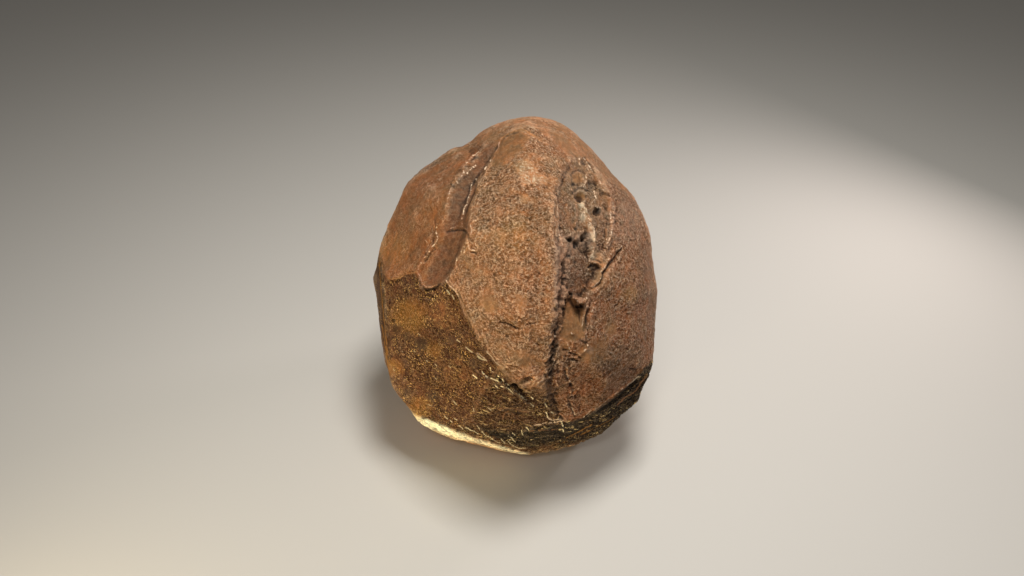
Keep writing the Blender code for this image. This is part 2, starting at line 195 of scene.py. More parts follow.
REAR = in_mm(
    (50, 330, 250), (-160, 290, 200), (200, 260, 160), (315, 150, -40), (-305, 150, -30), (30, 395, 50),
    (-180, 350, -70), (190, 340, -110), (0, 385, -260), (290, 220, -270), (-290, 210, -250),
)
UNDERSIDE = in_mm(
    (-200, -60, -440), (-100, -110, -440), (20, -135, -440), (120, -125, -440), (200, -80, -440),
    (270, 50, -440), (250, 190, -440), (140, 290, -440), (-20, 330, -440), (-170, 280, -440),
    (-270, 160, -440), (-260, 30, -440),
)
print(len(OUTLINE + FACE + REAR + UNDERSIDE), "corners")

# %% [markdown]
# ## Wearing the edges
#
# Seen from the middle, a convex block is one distance for each direction: the distance to the
# nearest of its planes. Taking the mean of that distance over a small disc of directions leaves the
# flat faces flat and turns each edge into a soft one, which is what weather does. It needs no bevel
# and no sculpting, and the disc's width says how worn the stone is.

# %% The worn block
EDGE_WEAR = math.radians(2.2)


def hull_planes():
    """Each face of the hull of the corners, as its normal over its distance from the middle."""
    corners = [FRONT.corner(*corner) for corner in OUTLINE + FACE]
    corners += [Vector(corner) for corner in REAR + UNDERSIDE]
    bm = bmesh.new()
    for corner in corners:
        bm.verts.new(corner)
    bm.verts.index_update()
    bmesh.ops.convex_hull(bm, input=bm.verts)
    faces = sorted(sorted(vert.index for vert in face.verts) for face in bm.faces)
    bm.free()
    planes = []
    for face in faces:
        first, second, third = (np.array(corners[number]) for number in face)
        normal = np.cross(second - first, third - first)
        planes.append(normal / (normal @ first))
    return np.array(planes)


def worn_block(directions):
    """Distance from the middle to the worn block along each direction."""
    planes = hull_planes()
    pole = np.where(abs(directions[:, 2:3]) > 0.9, (1.0, 0, 0), (0, 0, 1.0))
    side = np.cross(directions, pole)
    side /= np.linalg.norm(side, axis=1, keepdims=True)
    other = np.cross(directions, side)
    leans = [(0, 0)]
    for ring, spokes in ((0.5, 6), (1.0, 12)):
        leans += [(ring, 2 * math.pi * spoke / spokes) for spoke in range(spokes)]
    total = np.zeros(len(directions))
    for ring, turn in leans:
        leaned = directions + (side * math.cos(turn) + other * math.sin(turn)) * math.tan(EDGE_WEAR * ring)
        leaned /= np.linalg.norm(leaned, axis=1, keepdims=True)
        total += 1 / (leaned @ planes.T).max(axis=1)
    return total / len(leans)


print(len(hull_planes()), "planes in the block")

# %% [markdown]
# ## The carver's tools
#
# Four tools cut everything: a trough that follows a drawn line, a ledge that is steep on one side
# and fades on the other, a sunken patch inside an outline, and a round hollow. Each one only says
# how deep it cuts at a place on the board, so cuts can be added up. Real cracks never follow a
# ruler, so each point is first shifted a little by noise.

# %% Smooth steps and noise
WANDER = 0.004
WANDER_SIZE = 0.03
WANDER_SEED = 7


def smooth(value, low, high):
    """0 below low, 1 above high, and a smooth rise between them."""
    t = np.clip((value - low) / (high - low), 0, 1)
    return t * t * (3 - 2 * t)


def fractal(points, size, octaves=3):
    """Soft noise between about -1 and 1 that changes over that size."""
    return np.array([noise.fractal(Vector(p) / size, 1.0, 2.0, octaves) for p in points])


def wandering(points, size, seed):
    """A sideways shift of each point, at most about 1 long, that changes over that size."""
    noise.seed_set(seed)
    return np.array([noise.noise_vector(Vector(p) / size) for p in points])


print("half way up a smooth step:", smooth(0.5, 0, 1))

# %% Distance to a drawn line
def along_line(line, places):
    """For each place: its distance to the line, which is positive on the left, and the nearest
    point's place along the line, counted in corners."""
    nearest = np.full(len(places), 9.0)
    signed = np.full(len(places), 9.0)
    passed = np.zeros(len(places))
    for number in range(len(line) - 1):
        start, end = np.array(line[number]), np.array(line[number + 1])
        run = end - start
        offset = places - start
        share = np.clip(offset @ run / (run @ run), 0, 1)
        gap = np.linalg.norm(offset - share[:, None] * run, axis=1)
        left = np.where(run[0] * offset[:, 1] - run[1] * offset[:, 0] >= 0, 1, -1)
        closer = gap < nearest
        nearest = np.where(closer, gap, nearest)
        signed = np.where(closer, gap * left, signed)
        passed = np.where(closer, number + share, passed)
    return signed, passed


def widths_off(places, half_width, line):
    """How many half widths each place is away from a thin line, counted up to three."""
    corners = np.array(line)
    reach = 3 * half_width
    near = ((places > corners.min(axis=0) - reach) & (places < corners.max(axis=0) + reach)).all(axis=1)
    widths = np.full(len(places), 3.0)
    widths[near] = np.minimum(3, abs(along_line(line, places[near])[0]) / half_width)
    return widths


print("a place 3 mm above a level line:", along_line(((0, 0), (0.01, 0)), np.array([[0.005, 0.003]]))[0], "m")

# %% Troughs, ledges, patches and hollows
def trough(places, form, points):
    """Depth of a trough whose half width and depth change along its line."""
    points = np.array(points)
    signed, passed = along_line(points[:, :2], places)
    corners = np.arange(len(points))
    width = np.interp(passed, corners, points[:, 2])
    depth = np.interp(passed, corners, points[:, 3])
    share = abs(signed) / width
    if form == "round":
        return depth * (1 - smooth(share, 0.2, 1.1))
    return depth * np.clip(1.1 - share, 0, 1)


def ledge(places, height, wall, reach, line):
    """Height of a ledge that is steep at its line, fades back from it and dies out at its ends."""
    signed, passed = along_line(line, places)
    ends = smooth(passed, 0, 0.6) * smooth(len(line) - 1 - passed, 0, 0.6)
    return height * ends * smooth(signed, -wall, wall) * (1 - smooth(signed, wall, reach))


def patch(places, depth, outline, wall=0.005):
    """Depth of a sunken patch, by how far inside its outline each place is."""
    signed, _ = along_line(outline + outline[:1], places)
    inside = np.zeros(len(places), bool)
    for (x1, y1), (x2, y2) in zip(outline, outline[1:] + outline[:1]):
        crosses = (y1 > places[:, 1]) != (y2 > places[:, 1])
        rise = np.where(y2 == y1, 1e-9, y2 - y1)
        inside ^= crosses & (places[:, 0] < (x2 - x1) * (places[:, 1] - y1) / rise + x1)
    return depth * smooth(np.where(inside, abs(signed), -abs(signed)), -wall, wall)


def hollow(places, wall, across, up, radius, depth):
    """Depth of a round hollow whose wall lies between those two shares of its radius."""
    gap = np.linalg.norm(places - (across, up), axis=1)
    return depth * (1 - smooth(gap, wall[0] * radius, wall[1] * radius))


print("in the middle of a hollow 2 mm deep:", hollow(np.zeros((1, 2)), (0.4, 1.2), 0, 0, 0.01, 0.002), "m")

# %% [markdown]
# ## The groove and the cracks
#
# Each trough is a few points along its middle: across, up, half width and depth, in millimetres. The
# groove is round and wide like a gouge cut. The cracks are sharp. Raised lips are troughs that rise.

# %% Troughs and lips
GROOVE = in_mm(
    (-20, 380, 6, 4), (-52, 343, 12, 10), (-88, 295, 21, 16), (-118, 238, 27, 20), (-135, 175, 30, 21),
    (-148, 115, 33, 20), (-169, 60, 34, 17), (-190, 22, 30, 10), (-202, -10, 22, 0),
)
SADDLE = in_mm(
    (-70, 312, 30, 2), (-95, 350, 38, 5), (-117, 378, 44, 8), (-135, 407, 50, 7), (-150, 440, 50, 4),
)
MAIN_CRACK = in_mm(
    (155, 325, 4, 2), (135, 290, 5, 3), (115, 245, 6, 5), (112, 190, 7, 4), (120, 140, 9, 5),
    (130, 90, 14, 8), (128, 45, 15, 11), (126, -5, 14, 11), (122, -50, 11, 10), (113, -95, 9, 9),
    (102, -137, 8, 7), (98, -175, 8, 6), (92, -215, 9, 7), (98, -260, 9, 6), (110, -300, 8, 5),
    (128, -328, 7, 3),
)
SLANTING_CRACK = in_mm((282, 107, 5, 3), (250, 65, 7, 7), (230, 40, 7, 8), (220, 12, 7, 8), (195, -8, 6, 5))
SIDE_CRACK = in_mm((203, -35, 6, 3), (195, -75, 8, 9), (190, -110, 8, 9), (190, -140, 6, 4))
FOOT_CREVICE = in_mm((-10, -252, 5, 4), (25, -252, 9, 12), (65, -238, 6, 4))
LEFT_CRACK = in_mm(
    (-205, 220, 4, 1), (-195, 170, 5, 3), (-190, 137, 5, 4), (-203, 110, 6, 5), (-215, 80, 6, 4),
)
BACK_CRACK = in_mm(
    (-230, 230, 6, 4), (-150, 170, 10, 14), (-95, 80, 12, 18), (-80, -10, 12, 18), (-20, -90, 10, 14),
    (10, -190, 6, 4),
)
BACK_SCOOP = in_mm((20, 290, 40, 6), (85, 190, 60, 18), (140, 80, 60, 18), (200, -20, 50, 10))
RIGHT_CRACK = in_mm(
    (-210, 150, 6, 4), (-100, 110, 9, 12), (0, 50, 10, 14), (80, 30, 9, 12), (190, -60, 6, 4),
)
LEFT_SCOOP = in_mm((-200, 20, 40, 6), (-110, -40, 55, 16), (-20, -70, 50, 14), (90, -60, 40, 6))
TROUGHS = (
    (FRONT, "round", GROOVE), (FRONT, "round", SADDLE), (FRONT, "sharp", MAIN_CRACK),
    (FRONT, "sharp", SLANTING_CRACK), (FRONT, "sharp", SIDE_CRACK), (FRONT, "sharp", FOOT_CREVICE),
    (FRONT, "sharp", LEFT_CRACK), (BACK, "sharp", BACK_CRACK), (BACK, "round", BACK_SCOOP),
    (RIGHT, "sharp", RIGHT_CRACK), (LEFT, "round", LEFT_SCOOP),
)
GROOVE_CREST = in_mm(
    (-62, 360, 6, 2), (-92, 325, 8, 6), (-122, 290, 9, 7), (-154, 240, 9, 5), (-167, 180, 8, 2),
    (-186, 115, 8, 5), (-212, 76, 8, 6), (-233, 42, 7, 5), (-219, 0, 6, 5), (-197, 4, 6, 4),
    (-172, 12, 6, 2),
)
GROOVE_BRINK = in_mm(
    (-33, 370, 5, 2), (-55, 322, 6, 4), (-77, 280, 7, 4), (-102, 245, 7, 4), (-115, 200, 7, 4),
    (-126, 168, 6, 3), (-106, 132, 7, 4), (-120, 105, 7, 4), (-148, 50, 6, 3),
)
BRIGHT_LIP = in_mm(
    (173, 210, 8, 4), (187, 180, 10, 9), (199, 155, 10, 9), (205, 125, 10, 8), (203, 80, 8, 4),
)
CRUST_LIP = in_mm((220, 268, 6, 3), (238, 230, 8, 6), (250, 187, 8, 7), (248, 150, 8, 6), (238, 110, 6, 3))
FOOT_LIP = in_mm((-85, -205, 5, 3), (-50, -228, 8, 7), (-17, -242, 8, 7), (8, -262, 7, 6), (38, -283, 5, 3))
LIPS = (GROOVE_CREST, GROOVE_BRINK, BRIGHT_LIP, CRUST_LIP, FOOT_LIP)
print(len(TROUGHS), "troughs and", len(LIPS), "lips")

# %% [markdown]
# ## The ledges, the sunken patches and the hollows
#
# Where a slab has split off, the stone keeps a step. The widest step follows the lower left edge of
# the bulge. Right of the bulge the soft core of the fissure has washed out into three sunken
# patches, with cups and pits where pebbles fell out. A hollow is across, up, radius and depth.

# %% Ledges, patches and hollows
BULGE_STEP = in_mm(
    (-160, 14), (-135, -20), (-122, -60), (-92, -110), (-65, -160), (-30, -197), (0, -228), (30, -252),
    (60, -245), (90, -220),
)
FACET_STEP = in_mm(
    (-330, 60), (-315, 17), (-280, 22), (-250, 40), (-230, 20), (-218, -6), (-195, 4), (-160, 12),
)
FISSURE_STEP = in_mm(
    (110, -280), (98, -240), (85, -210), (95, -160), (103, -110), (113, -50), (117, 0), (118, 50),
    (112, 90), (104, 135), (106, 190), (112, 245),
)
ARCH = in_mm((72, 350), (55, 380), (20, 402), (-17, 390), (-40, 365))
LEFT_EDGE = in_mm((-295, -210), (-302, -142), (-310, -80), (-315, -5), (-326, 60))
RIGHT_FOOT_EDGE = in_mm(
    (20, -362), (80, -352), (130, -335), (165, -328), (195, -310), (230, -290), (262, -265), (292, -243),
    (312, -218), (345, -180),
)
FOOT_LINE = in_mm((-35, -308), (10, -300), (60, -316))
BACK_STEP = in_mm((300, -40), (130, -30), (30, 30), (-90, 20), (-180, 60), (-300, 30))
RIGHT_STEP = in_mm((260, 200), (160, 140), (100, 20), (120, -100), (60, -230))
LEFT_STEP = in_mm((-280, 180), (-150, 130), (-10, 150), (120, 90), (250, 120))
# Board, height, width of the wall, reach behind it, and line
LEDGES = (
    (FRONT, 0.010, 0.012, 0.090, BULGE_STEP), (FRONT, 0.006, 0.005, 0.060, FACET_STEP),
    (FRONT, 0.007, 0.008, 0.060, FISSURE_STEP), (FRONT, 0.004, 0.004, 0.050, ARCH),
    (FRONT, 0.006, 0.006, 0.040, LEFT_EDGE), (FRONT, 0.010, 0.007, 0.070, RIGHT_FOOT_EDGE),
    (FRONT, 0.006, 0.006, 0.040, FOOT_LINE), (BACK, 0.016, 0.010, 0.120, BACK_STEP),
    (RIGHT, 0.012, 0.010, 0.100, RIGHT_STEP), (LEFT, 0.011, 0.010, 0.100, LEFT_STEP),
)
CRUMBLED = in_mm(
    (128, 308), (183, 325), (220, 270), (240, 228), (250, 182), (248, 140), (235, 100), (205, 65),
    (158, 115), (120, 132), (115, 220),
)
UPPER_CHANNEL = in_mm(
    (148, 113), (190, 135), (205, 100), (200, 65), (220, 50), (195, -3), (185, -23), (157, -25), (142, -10),
    (132, 8), (132, 65),
)
LOWER_CHANNEL = in_mm(
    (138, -22), (157, -27), (172, -50), (185, -52), (184, -92), (180, -125), (150, -133), (120, -125),
    (127, -75),
)
# Depth and outline
PATCHES = ((0.006, CRUMBLED), (0.012, UPPER_CHANNEL), (0.020, LOWER_CHANNEL))
CUPS = in_mm(
    (165, 277, 16, 7), (173, 232, 15, 11), (217, 195, 10, 12), (207, 262, 19, 6), (147, 121, 8, 9),
    (186, 132, 10, 9), (148, -18, 8, 14), (178, -48, 9, 14),
)
HOLLOWS = in_mm(
    (-275, -100, 45, 4), (-225, -138, 40, 5), (-195, -262, 55, 4), (-10, -120, 50, 3), (235, -60, 60, 4),
    (190, -260, 50, 5), (-270, 110, 60, 3),
)
print(len(LEDGES), "ledges,", len(PATCHES), "patches and", len(CUPS + HOLLOWS), "hollows")

# %% [markdown]
# ## Adding the cuts up
#
# Cuts drawn on the front board fade where the stone turns away from it. Those of the other boards
# start only past the front's outline, so that they never change what the photograph shows.

# %% The carved relief
LUMP_HEIGHT = 0.005
LUMP_SIZE = 0.11
RAGGED = 0.0016
RAGGED_SIZE = 0.011
RAGGED_SEED = 23
BREAK_SIZE = 0.028
PATCH_RISE = 0.85
PATCH_RISE_SPAN = (0.055, 0.135)
CUP_WALL = (0.70, 1.10)
HOLLOW_WALL = (0.45, 1.20)


def carved_relief(points):
    """How far each point of the worn block is raised, or cut where it is negative."""
    strayed = points + wandering(points, WANDER_SIZE, WANDER_SEED) * WANDER
    strayed += wandering(points, RAGGED_SIZE, RAGGED_SEED) * RAGGED
    height = np.array([noise.fractal(Vector(p) / LUMP_SIZE, 0.9, 2.1, 4) for p in points]) * LUMP_HEIGHT
    broken = smooth(np.array([noise.noise(Vector(p) / BREAK_SIZE) for p in points]), -0.35, 0.25)
    past_outline = 1 - smooth(FRONT.lay(points)[1], -0.06, 0.01)
    for board in (FRONT, BACK, RIGHT, LEFT):
        places, out = board.lay(strayed)
        drawn = np.zeros(len(points))
        for owner, form, line in TROUGHS:
            if owner is board:
                drawn -= trough(places, form, line)
        for owner, *shape in LEDGES:
            if owner is board:
                drawn += ledge(places, *shape)
        if board is FRONT:
            drawn += sum(trough(places, "round", line) for line in LIPS) * (0.4 + 0.6 * broken)
            shallower = 1 - PATCH_RISE * smooth(-places[:, 1], *PATCH_RISE_SPAN)
            drawn -= sum(patch(places, *shape) for shape in PATCHES) * shallower
            drawn -= sum(hollow(places, CUP_WALL, *shape) for shape in CUPS)
            drawn -= sum(hollow(places, HOLLOW_WALL, *shape) for shape in HOLLOWS)
            seen = smooth(out, -0.08, 0.0)
        else:
            seen = smooth(out, 0.0, 0.08) * past_outline
        height += drawn * seen
    return height


def carve(directions):
    """The carved stone's points along those directions, measured from the middle."""
    reach = worn_block(directions)
    reach += carved_relief(directions * reach[:, None])
    return directions * reach[:, None]


print("relief ready")

# %% [markdown]
# ## The colours
#
# Iron gives sandstone its colours: rust and orange where it is fresh, and gold and plum. Gold and
# straw are also painted light of the low warm lamp, low on the left and on the foot. Nearly black is
# mostly painted shade, on the foot that faces down and in holes, and bone is bare grain and also
# painted highlight on ridge crests.

# %% Colours, written as a paint shop would
def paint(red, green, blue):
    """A colour given in the 0 to 255 steps of a paint chart, as the light values Blender uses."""
    steps = np.array((red, green, blue)) / 255
    return np.where(steps <= 0.04045, steps / 12.92, ((steps + 0.055) / 1.055) ** 2.4)


RUST = paint(130, 89, 56)
ORANGE = paint(145, 102, 68)
CRUST_TAN = paint(146, 102, 66)
PALE = paint(192, 164, 130)
OLIVE = paint(126, 94, 62)
PLUM = paint(108, 74, 52)
RED_BROWN = paint(132, 87, 52)
GOLD_BROWN = paint(104, 66, 34)
GOLD = paint(124, 86, 38)
STRAW = paint(252, 238, 196)
DARK = paint(38, 23, 14)
LILAC = paint(150, 118, 98)
TAN = paint(136, 97, 62)
BONE = paint(222, 196, 168)
print("bone, in light:", BONE.round(2))

# %% [markdown]
# ## Thin ridges, creases and pits
#
# The solid stone leaves out what is only a few millimetres wide, but such lines are what the eye
# reads as broken stone. Hard mineral stands out of the worn stone as thin pale ridges, and their paint
# is also painted highlight where the crests catch the light. Creases and pits lie between them, and
# their dark colour is painted shade. They are traced from the photograph, so their corners are
# written as its pixels, across and down, and one pixel is 2.5 mm on the front board.

# %% Traced ridges, each row with its half width in pixels, height in mm, paint, partly painted highlight, and lines
RIDGES = (
    (1.3, 3.5, BONE, (479,152, 474,155, 471,158, 468,162, 466,163), (476,165, 472,168, 468,172, 467,174)),
    (1.1, 3.0, BONE * 0.9, (463,169, 464,173, 461,176), (455,177, 456,181, 459,184),
     (430,250, 427,256, 424,259, 421,263)),
    (1.1, 2.5, BONE * 0.75, (453,183, 452,187, 450,191, 449,196, 447,201), (425,240, 428,243)),
    (1.0, 2.0, LILAC * 1.3, (421,263, 418,268, 418,272, 421,279, 423,284, 426,287, 431,287, 437,285)),
    (1.1, 3.0, BONE * 0.8, (437,225, 436,232, 438,238, 436,243, 432,247)),
    (0.9, 1.2, ORANGE, (430,199, 431,205, 433,210, 434,217, 433,222, 435,228)),
    (0.9, 1.2, LILAC, (448,230, 454,227, 458,226, 463,227, 467,230)),
    (1.0, 1.5, LILAC * 1.3, (501,138, 499,144, 498,149, 495,153), (462,217, 461,222, 463,226)),
    (1.1, 2.5, BONE, (491,159, 490,162), (486,167, 485,169), (476,179, 477,181), (468,243, 469,249)),
    (1.0, 2.5, BONE * 0.9, (472,183, 471,188, 470,193, 468,199, 467,204, 464,209, 463,214),
     (475,243, 478,248), (465,250, 464,253), (451,273, 451,277), (484,188, 487,183)),
    (1.0, 2.5, BONE * 0.85, (478,219, 474,221, 471,224, 471,228, 472,231, 470,234, 471,238),
     (470,250, 477,251), (461,251, 461,255), (457,258, 456,263, 456,267, 453,271)),
    (1.1, 2.5, BONE * 0.85, (446,280, 449,285, 452,288, 456,292, 459,297), (508,211, 508,213),
     (507,218, 509,218), (547,193, 547,195), (539,190, 541,190), (552,190, 554,190), (556,161, 558,161),
     (567,205, 567,208), (478,271, 481,268)),
    (1.0, 2.0, STRAW * 0.45, (447,290, 450,294), (452,295, 454,299), (466,347, 469,350, 472,352),
     (478,356, 481,359, 485,360), (457,340, 460,342)),
    (1.1, 1.2, LILAC * 0.9, (459,297, 462,306, 465,314, 470,320, 475,328, 477,334)),
    (1.0, 2.5, BONE * 0.5, (477,353, 483,357, 487,361), (487,351, 491,356, 495,361),
     (495,362, 500,365, 503,369)),
    # The straw rows low on the foot are painted highlight on edges that face the low warm lamp.
    (0.9, 5.0, STRAW, (482,370, 483,373, 486,376, 490,378, 494,379, 498,381, 503,383, 507,384, 510,386),
     (514,390, 517,392, 520,395, 523,398, 526,400)),
    (0.8, 3.2, STRAW, (490,367, 491,370, 494,373), (498,376, 501,378, 504,381), (546,412, 548,417),
     (562,428, 564,432)),
    (0.8, 3.0, STRAW * 0.9, (501,386, 505,387, 508,388, 511,391, 513,393), (473,375, 477,378),
     (495,385, 499,389), (531,396, 533,399), (561,421, 563,426)),
    (0.8, 2.5, STRAW * 0.65, (530,379, 533,381), (530,403, 533,406), (545,403, 547,407),
     (550,411, 553,413)),
    (0.7, 2.0, STRAW * 0.5, (453,401, 457,405), (488,407, 491,410), (473,408, 474,412), (527,387, 530,389)),
    (1.0, 3.0, TAN * 0.7, (498,409, 504,408, 510,408, 516,409, 521,411, 526,412, 531,412, 535,410),
     (503,419, 504,414, 508,411, 513,414, 518,419), (530,431, 538,430, 546,430, 557,429)),
    (0.9, 3.0, BONE * 0.8, (547,418, 553,420, 560,419, 566,421),
     (534,425, 540,424, 546,422, 553,423, 561,421)),
    (1.1, 2.5, BONE * 0.65, (550,377, 545,379, 540,382, 534,384, 529,388)),
    (0.7, 1.5, STRAW * 0.6, (444,416, 448,419), (450,420, 452,422), (454,418, 457,420), (459,425, 463,429),
     (466,427, 470,430, 474,431, 478,434), (477,425, 480,430),
     (482,431, 485,435, 489,437, 494,440, 500,443), (501,439, 505,443), (508,436, 512,438, 515,442),
     (512,433, 515,435), (521,430, 523,435), (526,427, 529,430), (508,441, 512,445, 518,448, 526,448)),
    (0.6, 1.2, STRAW * 0.45, (418,333, 420,335), (413,350, 415,352), (426,360, 428,362), (435,364, 437,366),
     (449,366, 451,368), (435,378, 437,380), (401,350, 403,352), (393,369, 395,371), (425,403, 432,406)),
    (1.3, 3.5, ORANGE * 1.1,
     (617,405, 621,401, 625,397, 631,394, 636,390, 639,386, 641,382, 644,379, 647,374)),
    (1.1, 2.5, BONE * 0.75,
     (583,417, 590,411, 598,407, 606,401, 614,395, 622,389, 629,384, 634,380, 638,376)),
    # The gold rows under the right foot and on the left strip are painted golden highlight of the low warm
    # lamp.
    (0.8, 2.5, GOLD * 1.3, (578,436, 588,431, 598,426, 608,421, 617,415),
     (545,451, 556,450, 565,448, 571,446), (548,446, 560,443, 572,441), (566,438, 580,431, 592,424)),
    (0.8, 1.2, GOLD * 0.9, (379,262, 381,290, 384,320, 388,355, 392,365), (382,325, 386,352, 390,375)),
    (0.9, 1.0, OLIVE * 1.5, (382,265, 385,275, 390,279, 400,278, 405,274, 415,272, 418,271)),
    (0.9, 1.2, TAN * 1.4,
     (501,138, 505,136, 510,133, 516,131, 521,129, 526,131, 531,134, 537,138, 541,141)),
    (1.1, 2.5, BONE * 0.85, (585,174, 587,179, 585,184, 582,188), (596,177, 599,180, 601,185),
     (593,206, 597,207, 602,208), (622,246, 619,249), (584,286, 587,288), (584,313, 583,320, 582,326),
     (571,333, 573,334)),
    (1.1, 2.5, BONE, (578,156, 580,160), (578,162, 580,165), (594,191, 595,195, 597,199)),
    (1.0, 2.0, BONE * 0.75, (585,176, 588,173, 591,172), (586,166, 588,169),
     (583,157, 587,162, 590,168, 593,172), (597,199, 593,200, 591,204, 592,208), (602,189, 605,192),
     (595,237, 594,244, 593,251, 591,256), (556,197, 558,210, 558,222, 559,235, 563,245)),
    (1.0, 3.0, BONE * 0.9, (610,205, 610,212, 611,220, 612,228, 611,235, 609,240, 607,244),
     (612,211, 614,213), (613,217, 615,219), (606,229, 607,234, 606,240)),
    # This bright bone ridge is a painted highlight on its crest.
    (1.3, 4.0, BONE * 1.1, (582,205, 585,211, 587,216, 590,221, 593,228, 595,235)),
    (1.0, 2.0, LILAC * 1.3, (571,188, 574,193, 573,198, 576,201), (576,203, 577,210, 577,218, 575,226)),
    (1.0, 2.5, BONE * 0.75, (588,255, 590,260, 589,265), (594,263, 598,264, 601,267), (587,268, 591,272),
     (585,294, 587,299, 583,304), (577,299, 578,304)),
    (1.3, 4.0, BONE * 0.8, (613,250, 610,256, 607,262, 604,268, 600,273, 601,278, 598,283, 593,287)),
    (1.0, 3.0, BONE * 0.85, (594,303, 593,309, 590,316, 588,322, 587,329, 586,334, 588,338)),
    (1.0, 2.5, BONE * 0.75, (588,344, 587,348, 584,351, 580,355, 577,352, 573,350),
     (567,342, 569,348, 571,351), (571,341, 573,347), (565,354, 570,354), (570,357, 577,357)),
    (1.2, 3.0, BONE, (553,335, 555,337)),
    (1.1, 2.5, LILAC * 1.3, (552,339, 550,344, 553,347), (562,326, 560,331, 557,335),
     (559,413, 564,417, 567,421)),
    (1.0, 2.5, BONE * 0.75, (557,350, 556,357, 554,362, 552,367, 549,371), (549,358, 545,361),
     (567,368, 567,374, 569,379, 570,382), (556,380, 557,385, 562,384), (570,388, 571,395, 574,397),
     (570,403, 572,407, 574,412, 575,416), (579,388, 575,392, 573,396)),
)
print(sum(len(row) - 3 for row in RIDGES), "thin ridges")

# %% Traced creases, each row with its half width in pixels, depth in mm, darkness of painted shade and lines
CREASES = (
    (1.1, 2.5, 0.6, (478,157, 474,158, 471,161), (465,167, 469,166), (463,178, 467,176), (451,184, 454,187),
     (447,232, 451,231, 457,230, 464,230, 468,234, 469,239), (471,252, 477,253), (600,190, 601,195)),
    (1.1, 3.0, 0.7, (435,249, 431,252, 428,257, 425,261), (452,290, 456,294, 460,297)),
    (1.3, 1.5, 0.4, (434,231, 433,239, 434,246), (383,300, 384,340), (388,300, 390,345), (645,268, 646,290),
     (507,136, 512,134, 518,132)),
    (1.5, 4.0, 0.8, (440,284, 436,287, 432,289, 427,290, 423,288)),
    (1.4, 2.0, 0.5, (497,147, 491,155, 487,163, 481,172, 475,180, 470,187, 468,195, 465,203)),
    (1.0, 4.0, 0.7, (500,322, 506,323, 511,325, 516,328, 522,328)),
    (0.9, 1.5, 0.4, (526,325, 532,324, 538,323)),
    (1.1, 3.0, 0.65, (474,371, 478,374, 483,377), (480,376, 485,378, 490,380, 495,383, 500,385),
     (495,374, 498,377, 502,382), (536,427, 546,426, 560,425), (549,421, 560,421)),
    (2.2, 8.0, 0.9, (510,387, 514,386, 518,384, 523,382, 527,380, 531,379)),
    (1.0, 2.0, 0.6, (502,411, 509,410, 515,412, 522,414)),
    (1.6, 4.0, 0.8, (528,433, 538,434, 548,432, 560,432)),
    (1.8, 5.0, 0.85, (576,423, 586,419, 596,413, 606,406, 614,400, 620,395, 626,389, 632,384, 636,380)),
    (1.1, 3.0, 0.75, (621,404, 628,399, 634,396), (560,437, 572,433, 585,427), (630,369, 636,369)),
    (1.2, 2.5, 0.6, (571,175, 573,172, 577,170, 582,171, 585,174), (584,158, 588,163, 591,169, 595,173)),
    (1.3, 3.0, 0.8, (575,191, 578,188, 583,188, 587,191)),
    (1.1, 2.5, 0.65, (602,194, 606,194, 610,196), (613,240, 611,246, 609,250), (608,220, 610,224, 606,223),
     (613,224, 617,221), (594,259, 598,261, 601,263), (588,268, 592,265, 597,266, 600,269),
     (592,279, 595,279)),
    (1.3, 3.0, 0.6, (621,249, 616,256, 611,262, 607,268, 603,274, 602,280),
     (588,309, 586,316, 585,324, 584,331)),
    (1.1, 2.5, 0.65, (580,340, 585,343, 588,343), (563,350, 569,350), (569,353, 574,354, 577,355),
     (569,360, 574,359, 577,361), (579,357, 581,358)),
    (1.2, 3.2, 0.7, (557,345, 555,351, 553,356, 549,360, 546,363), (555,362, 552,369, 550,374),
     (565,371, 567,377), (571,397, 576,397, 580,395), (569,401, 571,405, 573,411, 575,416),
     (556,389, 561,387, 564,385)),
)

# %% Traced pits, each row with its radius in pixels, depth in mm and places
PITS = (
    (2.2, 5, 573, 193, 571, 385, 552, 373, 565, 279, 565, 273),
    (2.5, 6, 586, 234, 571, 295, 583, 307, 558, 328),
    (3.2, 8, 598, 210),
    (1.8, 3, 586, 197, 599, 214, 591, 241, 614, 215, 603, 193, 551, 345, 553, 396),
    (2.0, 4, 573, 184, 581, 241, 576, 229, 574, 247, 569, 256, 575, 262, 562, 283, 567, 288, 563, 309, 562,
     300),
    (2.0, 4, 556, 310, 560, 324, 557, 339, 558, 372, 568, 378, 557, 394, 570, 405),
)
print(sum(len(row) - 3 for row in CREASES), "creases and", sum(len(row) // 2 - 1 for row in PITS), "pits")

# %% What the traced forms do to the stone
FRAY = 0.0010
RIDGE_SLOPE = (0.2, 1.5)
PIT_WALL = (0.3, 1.3)
# Pits darken the colour as painted shade, by this much at their middle.
PIT_DARKNESS = 0.85
MM = 0.001


def traced(*pixels):
    """Places on the front board for corners given as the photograph's pixels."""
    corners = zip(pixels[::2], pixels[1::2])
    half_width, half_height = PICTURE[0] / 2, PICTURE[1] / 2
    return tuple(((x - half_width) * PIXEL_ON_BOARD, (half_height - y) * PIXEL_ON_BOARD) for x, y in corners)


